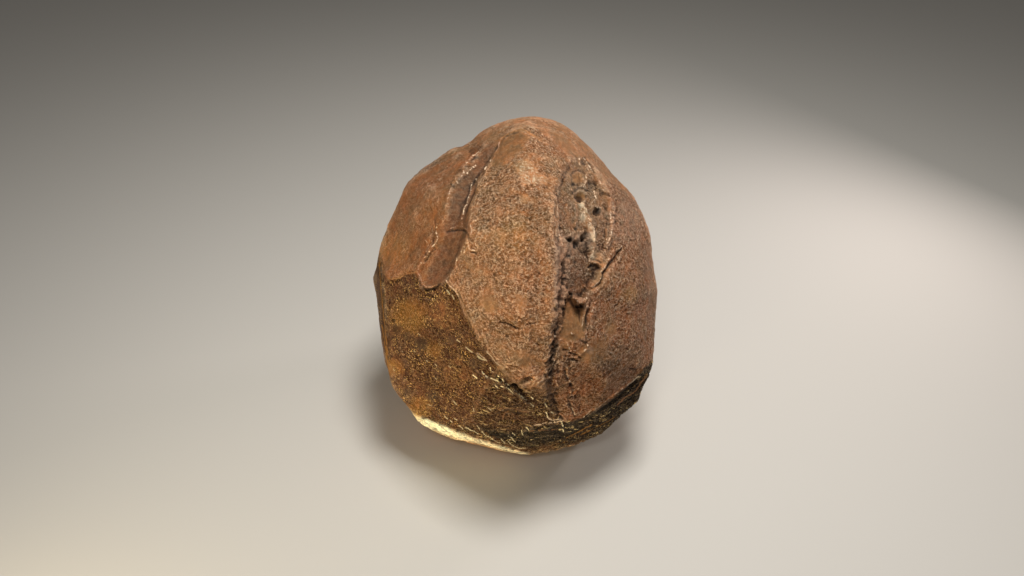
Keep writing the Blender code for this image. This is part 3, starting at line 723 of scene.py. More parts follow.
def thin_forms(points):
    """What the traced forms do to each carved point: its rise, the nearest ridge's paint, which is partly
    painted highlight, and how many half widths off that ridge is, and the share of light that creases
    and pits leave as painted shade."""
    places, out = FRONT.lay(points + wandering(points, RAGGED_SIZE, RAGGED_SEED) * FRAY)
    seen = smooth(out, -0.05, 0.0)
    broken = seen * (0.35 + 0.65 * smooth(fractal(points, BREAK_SIZE / 3, 2), -0.3, 0.15))
    rise, cut = np.zeros((2, len(points)))
    skin = np.zeros((len(points), 3))
    off = np.full(len(points), 3.0)
    light = np.ones(len(points))
    for half_width, height, tint, *lines in RIDGES:
        for line in lines:
            widths = widths_off(places, half_width * PIXEL_ON_BOARD, traced(*line))
            rise = np.maximum(rise, height * MM * (1 - smooth(widths, *RIDGE_SLOPE)) * broken)
            skin[widths < off] = tint
            off = np.minimum(off, widths)
    # Creases and pits darken the colour as painted shade, as well as cutting into the stone.
    for half_width, depth, darkness, *lines in CREASES:
        for line in lines:
            widths = widths_off(places, half_width * PIXEL_ON_BOARD, traced(*line))
            share = (1 - smooth(widths, *RIDGE_SLOPE)) * seen
            cut = np.maximum(cut, depth * MM * share)
            light = np.minimum(light, 1 - darkness * share)
    for radius, depth, *corners in PITS:
        for across, up in traced(*corners):
            share = hollow(places, PIT_WALL, across, up, radius * PIXEL_ON_BOARD, 1) * seen
            cut = np.maximum(cut, depth * MM * share)
            light = np.minimum(light, 1 - PIT_DARKNESS * share)
    return rise - cut, skin, np.where(out > 0, off, 3), light


THIN_LINES = [traced(*line) for row in RIDGES + CREASES for line in row[3:]]
print("traced forms ready")

# %% [markdown]
# ## A ball with more points in front
#
# The stone starts as a ball of even triangles, 7 mm wide once it has its size. The side that the
# photograph shows needs finer ones for its crust, so its triangles are split once more, though not
# inside the two smooth faces. The sharp foot is split too, and triangles on a traced line are split
# twice. That keeps the stone under 200,000 triangles.

# %% The ball of points
BALL_DETAIL = 7
FINE_SIDE = 0.42
HIDDEN_SIDE = -0.05
FINEST_WIDTH = 0.0012
SMOOTH_INSIDES = (traced(452,168, 412,196, 390,250, 396,264, 418,264, 432,235, 436,208, 443,188),
                  traced(575,140, 560,132, 540,130, 560,152, 600,186, 636,215, 644,208))
SHARP_FOOT = traced(
    382,382, 404,398, 431,414, 472,428, 529,440, 572,432, 612,398, 650,356, 668,380, 600,462, 529,474,
    410,450)


def split(bm, chosen):
    """Splits each chosen face into four, and the ones beside them as they need."""
    for face, picked in zip(bm.faces, chosen):
        face.tag = bool(picked)
    edges = [edge for edge in bm.edges if any(face.tag for face in edge.link_faces)]
    bmesh.ops.subdivide_edges(bm, edges=edges, cuts=1, use_grid_fill=True)
    bmesh.ops.triangulate(bm, faces=[face for face in bm.faces if len(face.verts) > 3])
    for vert in bm.verts:
        vert.co.normalize()


def fine_ball():
    """A ball mesh with finer triangles in front, and the finest along the traced lines."""
    bm = bmesh.new()
    bmesh.ops.create_icosphere(bm, subdivisions=BALL_DETAIL, radius=1)
    for finest in (False, True):
        centres = np.array([face.calc_center_median().normalized() for face in bm.faces])
        facing = centres @ np.array(FRONT.out)
        chosen = facing > HIDDEN_SIDE
        places, _ = FRONT.lay(carve(centres[chosen]))
        picked = np.min([widths_off(places, FINEST_WIDTH, line) for line in THIN_LINES], axis=0) < 1
        if not finest:
            bare = sum(patch(places, 1, outline) for outline in SMOOTH_INSIDES) > 0.5
            picked |= (facing[chosen] > FINE_SIDE) & ~bare
            picked |= patch(places, 1, SHARP_FOOT) > 0.5
        chosen[chosen] = picked
        split(bm, chosen)
    mesh = bpy.data.meshes.new("boulder")
    bm.to_mesh(mesh)
    bm.free()
    return mesh


def points_of(mesh):
    """The places of a mesh's points."""
    flat = np.empty(len(mesh.vertices) * 3)
    mesh.vertices.foreach_get("co", flat)
    return flat.reshape(-1, 3)


ball = fine_ball()
directions = points_of(ball)
carved = carve(directions)
carved += directions * thin_forms(carved)[0][:, None] + np.array(MIDDLE)
ball.vertices.foreach_set("co", carved.ravel())
ball.update()
print(len(ball.polygons), "triangles in the carved stone")

# %% [markdown]
# ## The resting face
#
# The stone is cut off level where it stands. A bisect at the floor's height leaves one flat face,
# and filling its rim closes the body again.

# %% Cut the resting face
def cut_level(mesh):
    """Cuts a mesh off at the floor and closes it with one flat face."""
    bm = bmesh.new()
    bm.from_mesh(mesh)
    everything = bm.verts[:] + bm.edges[:] + bm.faces[:]
    cut = bmesh.ops.bisect_plane(bm, geom=everything, plane_co=(0, 0, 0), plane_no=(0, 0, -1),
                                 clear_outer=True)
    rim = [part for part in cut["geom_cut"] if isinstance(part, bmesh.types.BMEdge)]
    filled = bmesh.ops.contextual_create(bm, geom=rim)
    bmesh.ops.triangulate(bm, faces=filled["faces"])
    bmesh.ops.recalc_face_normals(bm, faces=bm.faces)
    open_edges = sum(not edge.is_manifold for edge in bm.edges)
    bm.to_mesh(mesh)
    bm.free()
    return open_edges


print("open edges after the cut:", cut_level(ball))

# %% [markdown]
# ## A map of the surface
#
# The photograph shows about a dozen kinds of surface, each in its own place: smooth orange facets,
# the crusted bulge, the dark groove, the golden foot. A painter would mask them one by one, and so
# does this map. Each zone has an outline on the front board, a colour, how grainy and how crusted
# it is, and how soft its border is. The masks become attributes, which the mesh carries along.

# %% Outlines of the zones
LEFT_FACET = traced(
    467,146, 406,184, 377,260, 385,281, 409,274, 421,281, 430,262, 440,245, 446,225, 448,205, 452,190,
    465,170, 480,150)
BULGE = traced(
    500,141, 510,128, 535,128, 572,158, 562,190, 557,215, 556,250, 561,283, 559,314, 552,345, 546,376,
    536,386, 520,386, 500,364, 480,342, 468,321, 458,296, 447,283, 455,265, 466,240, 470,230, 468,215,
    472,195, 482,175, 490,158)
CREAM_TOP = traced(512,165, 520,159, 528,158, 535,164, 541,172, 550,180, 548,186, 530,186, 521,188, 519,178)
RIGHT_FACET = traced(
    607,180, 639,204, 654,256, 660,290, 658,327, 653,362, 641,370, 637,375, 629,385, 617,394, 604,404,
    590,412, 578,419, 564,422, 556,400, 550,375, 572,340, 590,300, 604,272, 612,250, 612,220)
RIGHT_BAND = traced(644,240, 654,250, 664,290, 656,330, 649,328, 648,290)
LOWER_LEFT = traced(
    383,262, 385,281, 409,274, 421,281, 425,289, 447,283, 458,296, 468,321, 480,342, 500,364, 480,390,
    470,420, 452,429, 431,420, 416,415, 404,403, 392,388, 394,370, 391,345, 388,310)
LEFT_STRIP = traced(377,250, 383,262, 388,310, 391,345, 394,370, 392,388, 372,388, 360,308, 360,256)
FOOT_STRIP = traced(
    390,391, 398,400, 404,405, 416,415, 431,420, 452,429, 472,437, 492,443, 513,449, 529,453, 529,476,
    472,468, 416,452, 380,412)
RIGHT_FOOT = traced(
    652,360, 637,375, 629,385, 617,394, 604,404, 590,412, 578,419, 564,422, 556,448, 529,453, 529,476,
    612,460, 672,400)
FOOT = traced(
    480,390, 500,370, 520,388, 545,390, 563,418, 558,446, 529,453, 492,442, 472,437, 452,429, 470,420)
FOOT_DARK = traced(
    478,425, 500,430, 515,431, 530,427, 545,425, 560,424, 572,420, 583,418, 583,426, 575,436, 560,440,
    545,444, 530,447, 515,445, 500,440, 488,434)
GROOVE_BED = traced(
    499,141, 490,159, 481,176, 471,196, 469,216, 470,231, 465,242, 454,266, 445,283, 433,286, 426,288,
    426,276, 431,263, 441,244, 447,216, 452,192, 465,172, 477,158, 488,145)
TOP_STRIP = traced(
    452,128, 480,148, 500,139, 520,126, 535,134, 572,156, 596,174, 632,206, 648,192, 572,116, 532,100,
    472,108)
ARCH_BARE = traced(498,141, 520,130, 530,138, 522,150, 508,160, 500,168, 492,168, 493,154)
LUMPY_VEIN = traced(
    556,232, 572,237, 592,231, 594,248, 575,249, 569,262, 566,288, 561,312, 552,312, 554,270)
print("the bulge has", len(BULGE), "corners")

# %% Zones: outline, colour, grain, crust, layers, gold and border width
ZONES = (
    (TOP_STRIP, ORANGE * (0.64, 0.62, 0.58), 0.35, 0.00, 0.0, 0.0, 0.012),
    (LEFT_FACET, RUST * (0.73, 0.65, 0.56), 0.40, 0.00, 0.0, 0.1, 0.004),
    (BULGE, CRUST_TAN * (0.85, 0.82, 0.78), 1.00, 0.12, 0.0, 0.0, 0.007),
    (CREAM_TOP, CRUST_TAN * 0.9, 1.00, 0.12, 0.0, 0.0, 0.008),
    (RIGHT_FACET, RED_BROWN * (0.78, 0.65, 0.49), 1.00, 0.08, 0.10, 0.1, 0.008),
    (RIGHT_BAND, LILAC * (0.52, 0.38, 0.25), 0.45, 0.00, 0.0, 0.0, 0.008),
    (LOWER_LEFT, GOLD_BROWN * (0.42, 0.27, 0.26), 1.00, 0.12, 0.15, 1.0, 0.005),
    # The foot zones' near-black colours are partly painted shade on faces that look down.
    (FOOT, RED_BROWN * (0.19, 0.15, 0.12), 0.85, 0.30, 0.7, 0.8, 0.014),
    (RIGHT_FOOT, DARK * (0.30, 0.16, 0.06), 0.50, 0.12, 1.0, 0.8, 0.004),
    (FOOT_DARK, DARK * 0.02, 0.30, 0.15, 0.9, 0.8, 0.006),
    # The foot strip's straw colour is partly the stone's tone and partly painted light of the low warm lamp.
    (FOOT_STRIP, STRAW * (0.85, 0.95, 1.2), 0.40, 0.00, 0.8, 0.7, 0.004),
    (LEFT_STRIP, GOLD * (0.16, 0.11, 0.06), 0.40, 0.00, 0.0, 0.9, 0.004),
    (GROOVE_BED, PLUM * (0.67, 0.62, 0.53), 0.10, 0.00, 0.0, 0.0, 0.010),
    (CRUMBLED, TAN * (0.67, 0.65, 0.67), 0.60, 0.30, 0.0, 0.0, 0.010),
    (UPPER_CHANNEL, TAN * (0.41, 0.33, 0.26), 0.60, 0.30, 0.0, 0.0, 0.005),
    (LUMPY_VEIN, LILAC * (0.90, 0.88, 0.86), 0.40, 0.80, 0.0, 0.0, 0.007),
    (LOWER_CHANNEL, TAN * 0.75, 0.05, 0.00, 0.0, 0.0, 0.004),
    (ARCH_BARE, OLIVE * (0.73, 0.63, 0.54), 0.08, 0.00, 0.0, 0.0, 0.010),
)
print(len(ZONES), "zones")

# %% Spots: across, down and radius in pixels, colour, strength, and the share of grain that is left
SPOTS = (
    (490, 304, 10, OLIVE * 0.8, 0.6, 0.25), (523, 358, 13, OLIVE * 0.65, 0.6, 0.3),
    (520, 302, 9, OLIVE * 0.8, 0.4, 0.4), (549, 160, 12, ORANGE * 1.1, 0.5, 1.0),
    (525, 199, 6, OLIVE * 1.2, 0.5, 0.5), (516, 236, 24, GOLD * 1.5, 0.3, 1.0),
    (446, 312, 20, RED_BROWN * 0.8, 0.5, 0.8), (458, 372, 16, RED_BROWN * 0.7, 0.5, 0.8),
    # The gold spots low on the left are partly painted golden light of the low warm lamp.
    (409, 316, 20, GOLD * 1.6, 0.6, 1.0), (434, 350, 10, GOLD * 1.4, 0.5, 1.0),
    (395, 368, 10, GOLD * 1.4, 0.5, 1.0), (420, 408, 13, GOLD * 1.5, 0.6, 1.0),
    (397, 329, 7, DARK * 1.3, 0.8, 0.15), (421, 344, 8, DARK * 1.3, 0.85, 0.15),
    (408, 336, 6, DARK * 1.3, 0.7, 0.3), (408, 392, 6, DARK, 0.7, 0.5), (432, 396, 7, DARK, 0.7, 0.5),
    (452, 340, 6, DARK, 0.6, 0.4), (476, 363, 9, DARK, 0.75, 0.5), (410, 290, 12, DARK * 2, 0.4, 0.8),
    (436, 372, 8, DARK, 0.4, 0.6), (625, 222, 26, LILAC, 0.45, 1.0), (630, 295, 10, GOLD * 1.5, 0.4, 1.0),
    (615, 360, 28, RED_BROWN * 0.8, 0.4, 1.0), (611, 328, 8, OLIVE * 0.9, 0.5, 0.3),
    (598, 352, 16, OLIVE * 0.8, 0.4, 0.5), (608, 280, 14, OLIVE * 0.9, 0.35, 0.7),
    (392, 250, 20, GOLD * 1.4, 0.3, 1.0), (452, 256, 14, PLUM * 0.7, 0.4, 0.5),
    (468, 192, 10, PLUM * 0.75, 0.5, 0.5), (577, 179, 6.4, TAN, 0.8, 0.1),
    # The small dark spots in the fissure's holes and under its lips are painted shadow, and the bone spot on
    # the bright ridge below is a painted highlight.
    (581, 196, 6, TAN * 0.85, 0.8, 0.1), (598, 211, 4, DARK * 0.6, 0.85, 1.0),
    (570, 240, 3.2, DARK * 0.6, 0.8, 1.0), (571, 295, 2.8, DARK * 0.5, 0.9, 1.0),
    (583, 307, 2.6, DARK * 0.5, 0.9, 1.0), (584, 354, 9.6, ORANGE, 0.6, 0.15),
    (590, 350, 4, LILAC, 0.6, 1.0), (583, 218, 5, BONE * 0.7, 0.5, 0.6), (424, 417, 2.2, DARK, 0.8, 1.0),
    (433, 419, 2.6, DARK * 0.7, 0.8, 1.0), (441, 423, 1.8, DARK, 0.8, 1.0),
    (449, 424, 3.0, DARK * 0.6, 0.85, 1.0), (457, 430, 2.0, DARK, 0.8, 1.0),
    (466, 430, 3.2, DARK * 0.5, 0.9, 1.0), (474, 435, 2.2, DARK, 0.8, 1.0),
    (484, 436, 3.0, DARK * 0.5, 0.9, 1.0), (492, 441, 2.4, DARK * 0.7, 0.85, 1.0),
    (503, 444, 2.6, DARK * 0.6, 0.85, 1.0), (513, 448, 2.0, DARK, 0.8, 1.0),
)
SPOT_WALL = (0.45, 1.20)
# Speckled places, where the thin ridges' paint lies in specks as painted highlight, and on the cream top also
# as pale grain: outline, colour and border width
PALE_AND_LIT_SPECKS = ((traced(577,207, 583,206, 592,222, 597,236, 590,234, 582,226), BONE * 0.8, 0.006),
          (CREAM_TOP, PALE * (0.82, 0.93, 1.05), 0.009))
print(len(SPOTS), "spots and", len(PALE_AND_LIT_SPECKS), "places of pale and lit specks")

# %% [markdown]
# ## Crumbling rims
#
# Along the cracks a thin mineral skin has broken up, and its lumps show grey or cream. These rims
# are bands beside the lines that were cut, and a little noise breaks them up.

# %% Rims, each with its line, half width, colour, strength and crust
def course(line, first=0, last=None):
    """The across and up of a drawn line, or of part of it."""
    return tuple(point[:2] for point in line[first:last])


RIMS = (
    # The rims on the groove's crest and the upper bulge step are partly grey crust and partly painted
    # highlight where those edges catch the light.
    (course(GROOVE_CREST, 1, 4), 0.0050, LILAC, 0.5, 0.5), (BULGE_STEP[:5], 0.0050, LILAC, 0.4, 0.4),
    (BULGE_STEP[4:], 0.0050, LILAC * 0.5, 0.4, 0.6), (course(MAIN_CRACK, 0, 5), 0.0070, LILAC, 0.5, 0.5),
    (course(MAIN_CRACK, 4, 10), 0.0100, LILAC, 0.6, 0.8),
    (course(MAIN_CRACK, 9), 0.0090, LILAC * 0.8, 0.6, 0.8),
    # The bright lip's bone rim is a painted highlight on the lip's crest.
    (course(BRIGHT_LIP), 0.0080, BONE * 0.8, 0.7, 0.5), (course(CRUST_LIP), 0.0060, LILAC, 0.5, 0.4),
    (FACET_STEP, 0.0035, RUST * 0.7, 0.5, 0.6),
)
print(len(RIMS), "rims")

# %% Paint the map
BLOTCH_SIZE = 0.16
GRAIN_ELSEWHERE = 0.5
GRAIN_PATCH_SIZE = 0.035
RIM_BREAK_SIZE = 0.012
LAYERS_START = (0.16, 0.34)
GOLD_START = (0.05, 0.30)
SPECK_PAINT_STRENGTH = 2.45
OFF_FLOOR = (0.001, 0.012)


def surface_map(points):
    """Colour, grain, crust, layers and gold of each point, and its nearest ridge's paint and distance."""
    blotch = fractal(points, BLOTCH_SIZE)
    blotch_2 = fractal(points + 3.0, BLOTCH_SIZE * 0.6)
    share = smooth(blotch, -0.5, 0.5)[:, None]
    colour = RUST * (1 - share) + ORANGE * 0.9 * share
    share = smooth(blotch_2, 0.0, 0.7)[:, None]
    colour = colour * (1 - share) + GOLD_BROWN * share
    grain = GRAIN_ELSEWHERE * (0.5 + smooth(blotch_2, -0.4, 0.4))
    crust = 0.35 * smooth(blotch, 0.15, 0.6)
    layers = 0.9 * smooth(-points[:, 2], *LAYERS_START)
    # Gold, partly painted golden light of the low warm lamp, grows towards the bottom.
    gold = 0.6 * smooth(-points[:, 2], *GOLD_START)

    strayed = points + wandering(points, RAGGED_SIZE, RAGGED_SEED) * RAGGED
    places, out = FRONT.lay(strayed)
    seen = smooth(out, -0.08, 0.0)
    for outline, tint, grainy, crusted, layered, golden, border in ZONES:
        mask = patch(places, 1, outline, border) * seen
        colour += (tint - colour) * mask[:, None]
        grain += (grainy - grain) * mask
        crust += (crusted - crust) * mask
        layers += (layered - layers) * mask
        gold += (golden - gold) * mask
    for across, down, radius, tint, strength, kept in SPOTS:
        (middle,) = traced(across, down)
        mask = hollow(places, SPOT_WALL, *middle, radius * PIXEL_ON_BOARD, 1) * seen
        colour += (tint - colour) * (mask * strength)[:, None]
        grain *= 1 - mask * (1 - kept)
        crust *= 1 - mask * (1 - kept)
    grain *= 0.55 + 0.6 * smooth(fractal(points, GRAIN_PATCH_SIZE, 3), -0.45, 0.45)
    broken = smooth(fractal(points, RIM_BREAK_SIZE, 2), -0.25, 0.35)
    for line, width, tint, strength, crusted in RIMS:
        gap = abs(along_line(line, places)[0])
        mask = (1 - smooth(gap, 0.4 * width, 1.5 * width)) * seen
        colour += (tint - colour) * (mask * strength * broken)[:, None]
        crust = np.maximum(crust, crusted * (1 - smooth(gap, width, 2 * width)) * seen)
    _, skin, off, light = thin_forms(points)
    for outline, tint, border in PALE_AND_LIT_SPECKS:
        skin[off > 2] = tint
        off = np.minimum(off, 3 - SPECK_PAINT_STRENGTH * patch(places, 1, outline, border) * seen)
    kept = light * (0.3 + 0.7 * smooth(off, 0.6, 1.8))
    # Creases and pits darken the colour as painted shade.
    colour *= light[:, None]
    return colour, grain * kept, crust * kept, layers * kept, gold, skin, off


def store(mesh, name, values):
    """Puts one number for each point, or one colour, on the mesh."""
    if values.ndim == 2:
        layer = mesh.attributes.new(name, "FLOAT_COLOR", "POINT")
        layer.data.foreach_set("color", np.hstack([values, np.ones((len(values), 1))]).ravel())
    else:
        layer = mesh.attributes.new(name, "FLOAT", "POINT")
        layer.data.foreach_set("value", values)


bare = points_of(ball)
names = ("patina", "grain", "crust", "layers", "gold", "ridge paint and highlight", "ridge gap")
masks = dict(zip(names, surface_map(bare - np.array(MIDDLE))))
for name in ("grain", "crust"):
    print("mean", name, round(float(masks[name].mean()), 2))
for name in ("grain", "crust", "layers"):
    masks[name] *= smooth(bare[:, 2], *OFF_FLOOR)
for name, values in masks.items():
    store(ball, name, values)

# %% [markdown]
# ## One material
#
# The stone's finish is one material, because the real skin is one thing that changes from place to
# place. It starts with the painted map and adds what is too small to paint: rusty and olive
# mottling, pale grain tops that are partly painted highlight, painted shade in the pits, and a bump
# for grains under 3 mm. It shares the sizes of its curls with the geometry of the crust, so that
# colour and form lie on each other.

# %% A helper that adds nodes
class Nodes:
    """Adds nodes to a tree from left to right and links them as they come."""

    def __init__(self, tree):
        self.tree = tree
        self.count = 0

    def add(self, kind, inputs=None, **settings):
        node = self.tree.nodes.new(kind)
        node.location = (200 * (self.count // 5), -220 * (self.count % 5))
        self.count += 1
        for name, value in settings.items():
            setattr(node, name, value)
        for name, value in (inputs or {}).items():
            self.feed(node.inputs[name], value)
        return node

    def feed(self, socket, value):
        if isinstance(value, bpy.types.NodeSocket):
            self.tree.links.new(value, socket)
        elif isinstance(value, bpy.types.Node):
            self.tree.links.new(value.outputs[0], socket)
        else:
            socket.default_value = value

    def math(self, operation, first, second=0.5, clamp=False):
        return self.add("ShaderNodeMath", {0: first, 1: second}, operation=operation, use_clamp=clamp)

    def times(self, first, second, clamp=False):
        return self.math("MULTIPLY", first, second, clamp)

    def plus(self, first, second, clamp=False):
        return self.math("ADD", first, second, clamp)

    def minus(self, first, second, clamp=False):
        return self.math("SUBTRACT", first, second, clamp)

    def over(self, first, second):
        return self.math("DIVIDE", first, second)

    def larger(self, first, second):
        return self.math("MAXIMUM", first, second)

    def ramp(self, value, low, high, to_low=0.0, to_high=1.0):
        """Maps a value from one range to another with a smooth rise."""
        return self.add("ShaderNodeMapRange", {"Value": value, "From Min": low, "From Max": high,
                                               "To Min": to_low, "To Max": to_high},
                        interpolation_type="SMOOTHSTEP")


print("helper ready")

# %% Sizes of the crust, shared by the finish and the geometry
CRUST = {"Lump Size": 0.011, "Lump Height": 0.0050, "Hole Depth": 0.0070, "Chunk Size": 0.026,
         "Chunk Height": 0.0060, "Grain Size": 0.0088, "Grain Height": 0.0021, "Flatness": 1.35,
         "Layer Gap": 0.0085, "Layer Height": 0.0045, "Seed": 5.0}


def curl_gap(nodes, place, size, flatness, seed):
    """How far a noise of that size is from its middle level. It is 0 along thin curly lines."""
    flattened = nodes.add("ShaderNodeCombineXYZ", {"X": 1.0, "Y": 1.0, "Z": flatness})
    flattened = nodes.add("ShaderNodeVectorMath", {0: place, 1: flattened}, operation="MULTIPLY")
    level = nodes.add("ShaderNodeTexNoise", {"Vector": flattened, "W": seed, "Detail": 2.0, "Roughness": 0.6,
                                             "Scale": nodes.over(1.0, size), "Distortion": 0.3},
                      noise_dimensions="4D")
    return nodes.math("ABSOLUTE", nodes.minus(level.outputs["Fac"], 0.5))


print("crust sizes:", CRUST)

# %% [markdown]
# ## Starting the finish
#
# The mesh carries the painted masks as attributes. A few helpers read them, lay colours over each
# other and make soft noise. All noise starts from the place that each point had before the crust.

# %% Start the finish
sandstone = bpy.data.materials.new("sandstone skin")
sandstone.use_nodes = True
shader = sandstone.node_tree.nodes["Principled BSDF"]
finish = Nodes(sandstone.node_tree)


def attribute(name, output="Fac"):
    """What the mesh carries under that name."""
    return finish.add("ShaderNodeAttribute", attribute_name=name).outputs[output]


def mix(share, under, over, blend="MIX"):
    """Lays one colour over another, by a share from 0 to 1."""
    node = finish.add("ShaderNodeMix", data_type="RGBA", blend_type=blend)
    finish.feed(node.inputs[0], share)
    finish.feed(node.inputs[6], under)
    finish.feed(node.inputs[7], over)
    return node.outputs[2]


def tint(share, under, over):
    """Multiplies a colour by another, as a glaze does."""
    return mix(share, under, over, "MULTIPLY")


place = attribute("first place", "Vector")


def soft_noise(scale, detail=4.0, rough=0.6, distort=0.0, vector=None):
    """Cloudy noise with that many clouds in a metre."""
    node = finish.add("ShaderNodeTexNoise", {"Vector": vector or place, "Scale": scale, "Detail": detail,
                                             "Roughness": rough, "Distortion": distort})
    return node.outputs["Fac"]


ridge_paint_and_highlight = attribute("ridge paint and highlight", "Color")
grain_map, crust_map, layer_map, gold_map = map(attribute, ("grain", "crust", "layers", "gold"))
ridge_gap, pit_map, edge_map = map(attribute, ("ridge gap", "pit", "edge"))
print("the finish reads", finish.count, "attributes")

# %% [markdown]
# ## Mottling and streaks
#
# Rust and dirt lie in clouds the size of a hand, a thumb and a nail, so three noises make the ground
# colour redder or greener, lighter or darker. Water leaves faint steep streaks: the same noise on
# a stretched and turned pattern.

# %% Mottling and streaks
broad = soft_noise(8, 4, 0.6, 0.4)
thumb = soft_noise(32, 5, 0.65, 0.3)
small = soft_noise(85, 4, 0.65)
hue = mix(finish.ramp(broad, 0.34, 0.66), (1.06, 0.98, 0.92, 1), (0.95, 1.02, 1.03, 1))
colour = tint(1.0, attribute("patina", "Color"), hue)
hue = mix(finish.ramp(thumb, 0.34, 0.66), (1.15, 1.04, 0.92, 1), (0.83, 0.91, 0.94, 1))
colour = tint(0.9, colour, hue)
hue = mix(finish.ramp(small, 0.36, 0.64), (1.18, 1.12, 1.04, 1), (0.78, 0.82, 0.86, 1))
colour = tint(0.9, colour, hue)
stretched = finish.add("ShaderNodeMapping", {"Vector": place, "Rotation": (0.55, 0.35, 0.0),
                                             "Scale": (90, 90, 10)})
streak = soft_noise(1.0, 4, 0.6, 0.2, stretched.outputs[0])
colour = tint(finish.ramp(streak, 0.42, 0.62, 0.0, 0.35), colour, (0.60, 0.58, 0.56, 1))
print(finish.count, "nodes after the mottling")

# %% [markdown]
# ## Pale grain
#
# Bare grain is paler than the stone between it, and its pale tops are also painted highlight, golden
# where the gold mask is high. The darker gaps between grains are painted shade. The curl of the
# geometry is made again here with the same numbers, so the pale lines lie on the raised ones, and a
# second curl half as large goes between them. A fine speck noise breaks both up.

# %% Pale curls and dark gaps
coarse = curl_gap(finish, place, CRUST["Grain Size"], CRUST["Flatness"], CRUST["Seed"])
fine = curl_gap(finish, place, CRUST["Grain Size"] * 0.5, CRUST["Flatness"], CRUST["Seed"] + 4)
speck = soft_noise(190, 2.5, 0.75, 0.5)
spread = finish.ramp(speck, 0.34, 0.60, 0.15, 1.0)
curls = finish.times(finish.ramp(coarse, 0.055, 0.010), spread)
fine_curls = finish.times(finish.ramp(fine, 0.050, 0.010), finish.ramp(speck, 0.42, 0.60))
tops = finish.larger(curls, finish.times(fine_curls, 0.75))
tops = finish.times(tops, finish.ramp(grain_map, 0.0, 1.0, 0.14, 1.0), clamp=True)
# Pale grain tops, partly the grain's own colour and partly painted highlight, golden where gold is painted
# light.
bright_grain = tint(1.0, colour, (1.72, 1.70, 1.68, 1))
light_paint = mix(gold_map, (0.80, 0.61, 0.43, 1), (0.66, 0.37, 0.13, 1))
bright_grain = mix(finish.ramp(gold_map, 0.0, 1.0, 0.44, 0.36), bright_grain, light_paint)
colour = mix(tops, colour, bright_grain)
# Darker gaps between the grains are painted shade.
gap_share = finish.larger(finish.ramp(coarse, 0.06, 0.18), finish.ramp(speck, 0.46, 0.34))
gap_share = finish.times(gap_share, finish.ramp(grain_map, 0.0, 1.0, 0.18, 0.55))
gap_share = finish.times(gap_share, finish.minus(1.0, tops, clamp=True))
colour = tint(gap_share, colour, (0.74, 0.69, 0.64, 1))
print(finish.count, "nodes after the grain")

# %% [markdown]
# ## Gold
#
# Golden specks low on the left are partly golden iron and partly painted glints of the low warm
# lamp. On the layered foot, thin bright rows are painted golden glints, with near-black rows of
# painted shade between them.

# %% Golden specks and rows
dot = soft_noise(300, 1.0, 0.5)
dots = finish.times(finish.ramp(dot, 0.60, 0.69), finish.times(gold_map, grain_map))
dots = finish.times(dots, finish.ramp(thumb, 0.42, 0.58, 0.2, 1.0))
# Golden specks: partly the stone's gold, partly painted glints of the low warm lamp.
colour = mix(dots, colour, (1.0, 0.64, 0.22, 1))
flat = finish.add("ShaderNodeMapping", {"Vector": place, "Scale": (45, 45, 150)})
ridges = soft_noise(1.0, 3, 0.7, 0.6, flat.outputs[0])
patchy = finish.ramp(thumb, 0.40, 0.60, 0.15, 1.0)
glints = finish.times(finish.ramp(ridges, 0.61, 0.65), finish.times(layer_map, patchy))
glints = finish.times(glints, finish.ramp(gold_map, 0.1, 0.7))
# Golden glints on the foot's rows are painted highlight.
colour = mix(glints, colour, (0.98, 0.74, 0.36, 1))
# The near-black rows between them are painted shade.
dark_rows = finish.times(finish.ramp(ridges, 0.50, 0.40), finish.times(layer_map, 0.9))
colour = tint(dark_rows, colour, (0.12, 0.09, 0.07, 1))
print(finish.count, "nodes after the gold")

# %% [markdown]
# ## Painted shade in pits, wear and thin ridges
#
# Last come painted shade in the pits, a paler colour on worn edges, and the thin ridges' own paint,
# which is partly painted highlight. Their distance is stored on the points, so the paint's edge can be
# sharper than the triangles are, and the specks fray it.

# %% Painted shade in pits, worn edges and thin ridges
# Pits are darkened as painted shade.
pit_shade = finish.ramp(pit_map, 0.22, 1.1, 0, 0.9)
colour = tint(pit_shade, colour, (0.14, 0.11, 0.09, 1))
worn = finish.times(finish.ramp(edge_map, 0.25, 1.1), finish.ramp(grain_map, 0.05, 0.5, 0.1, 0.5))
worn_colour = mix(0.2, tint(1.0, colour, (1.8, 1.75, 1.65, 1)), (0.72, 0.62, 0.50, 1))
colour = mix(worn, colour, worn_colour)
fray = finish.times(finish.ramp(speck, 0.60, 0.36, 0.0, 0.9), finish.ramp(gold_map, 0.0, 1.0, 1.0, 0.35))
frayed = finish.plus(ridge_gap, fray)
worn_off = finish.ramp(soft_noise(110, 3, 0.6), 0.44, 0.60, 0.22, 0.9)
kept = finish.larger(worn_off, finish.ramp(gold_map, 0.3, 0.6, 0.0, 0.8))
kept = finish.times(kept, finish.ramp(frayed, 1.0, 0.45))
# The thin ridges' paint goes on here: partly pale mineral, partly painted highlight.
colour = mix(kept, colour, ridge_paint_and_highlight)
finish.feed(shader.inputs["Base Color"], colour)
print(finish.count, "nodes after the ridges")

# %% [markdown]
# ## Gloss and bump
#
# Grain tops are polished and catch the light, and the gaps between them are dull, so the roughness
# follows the curls. The bump adds only what is under 3 mm: the curls again and a finer tooth.

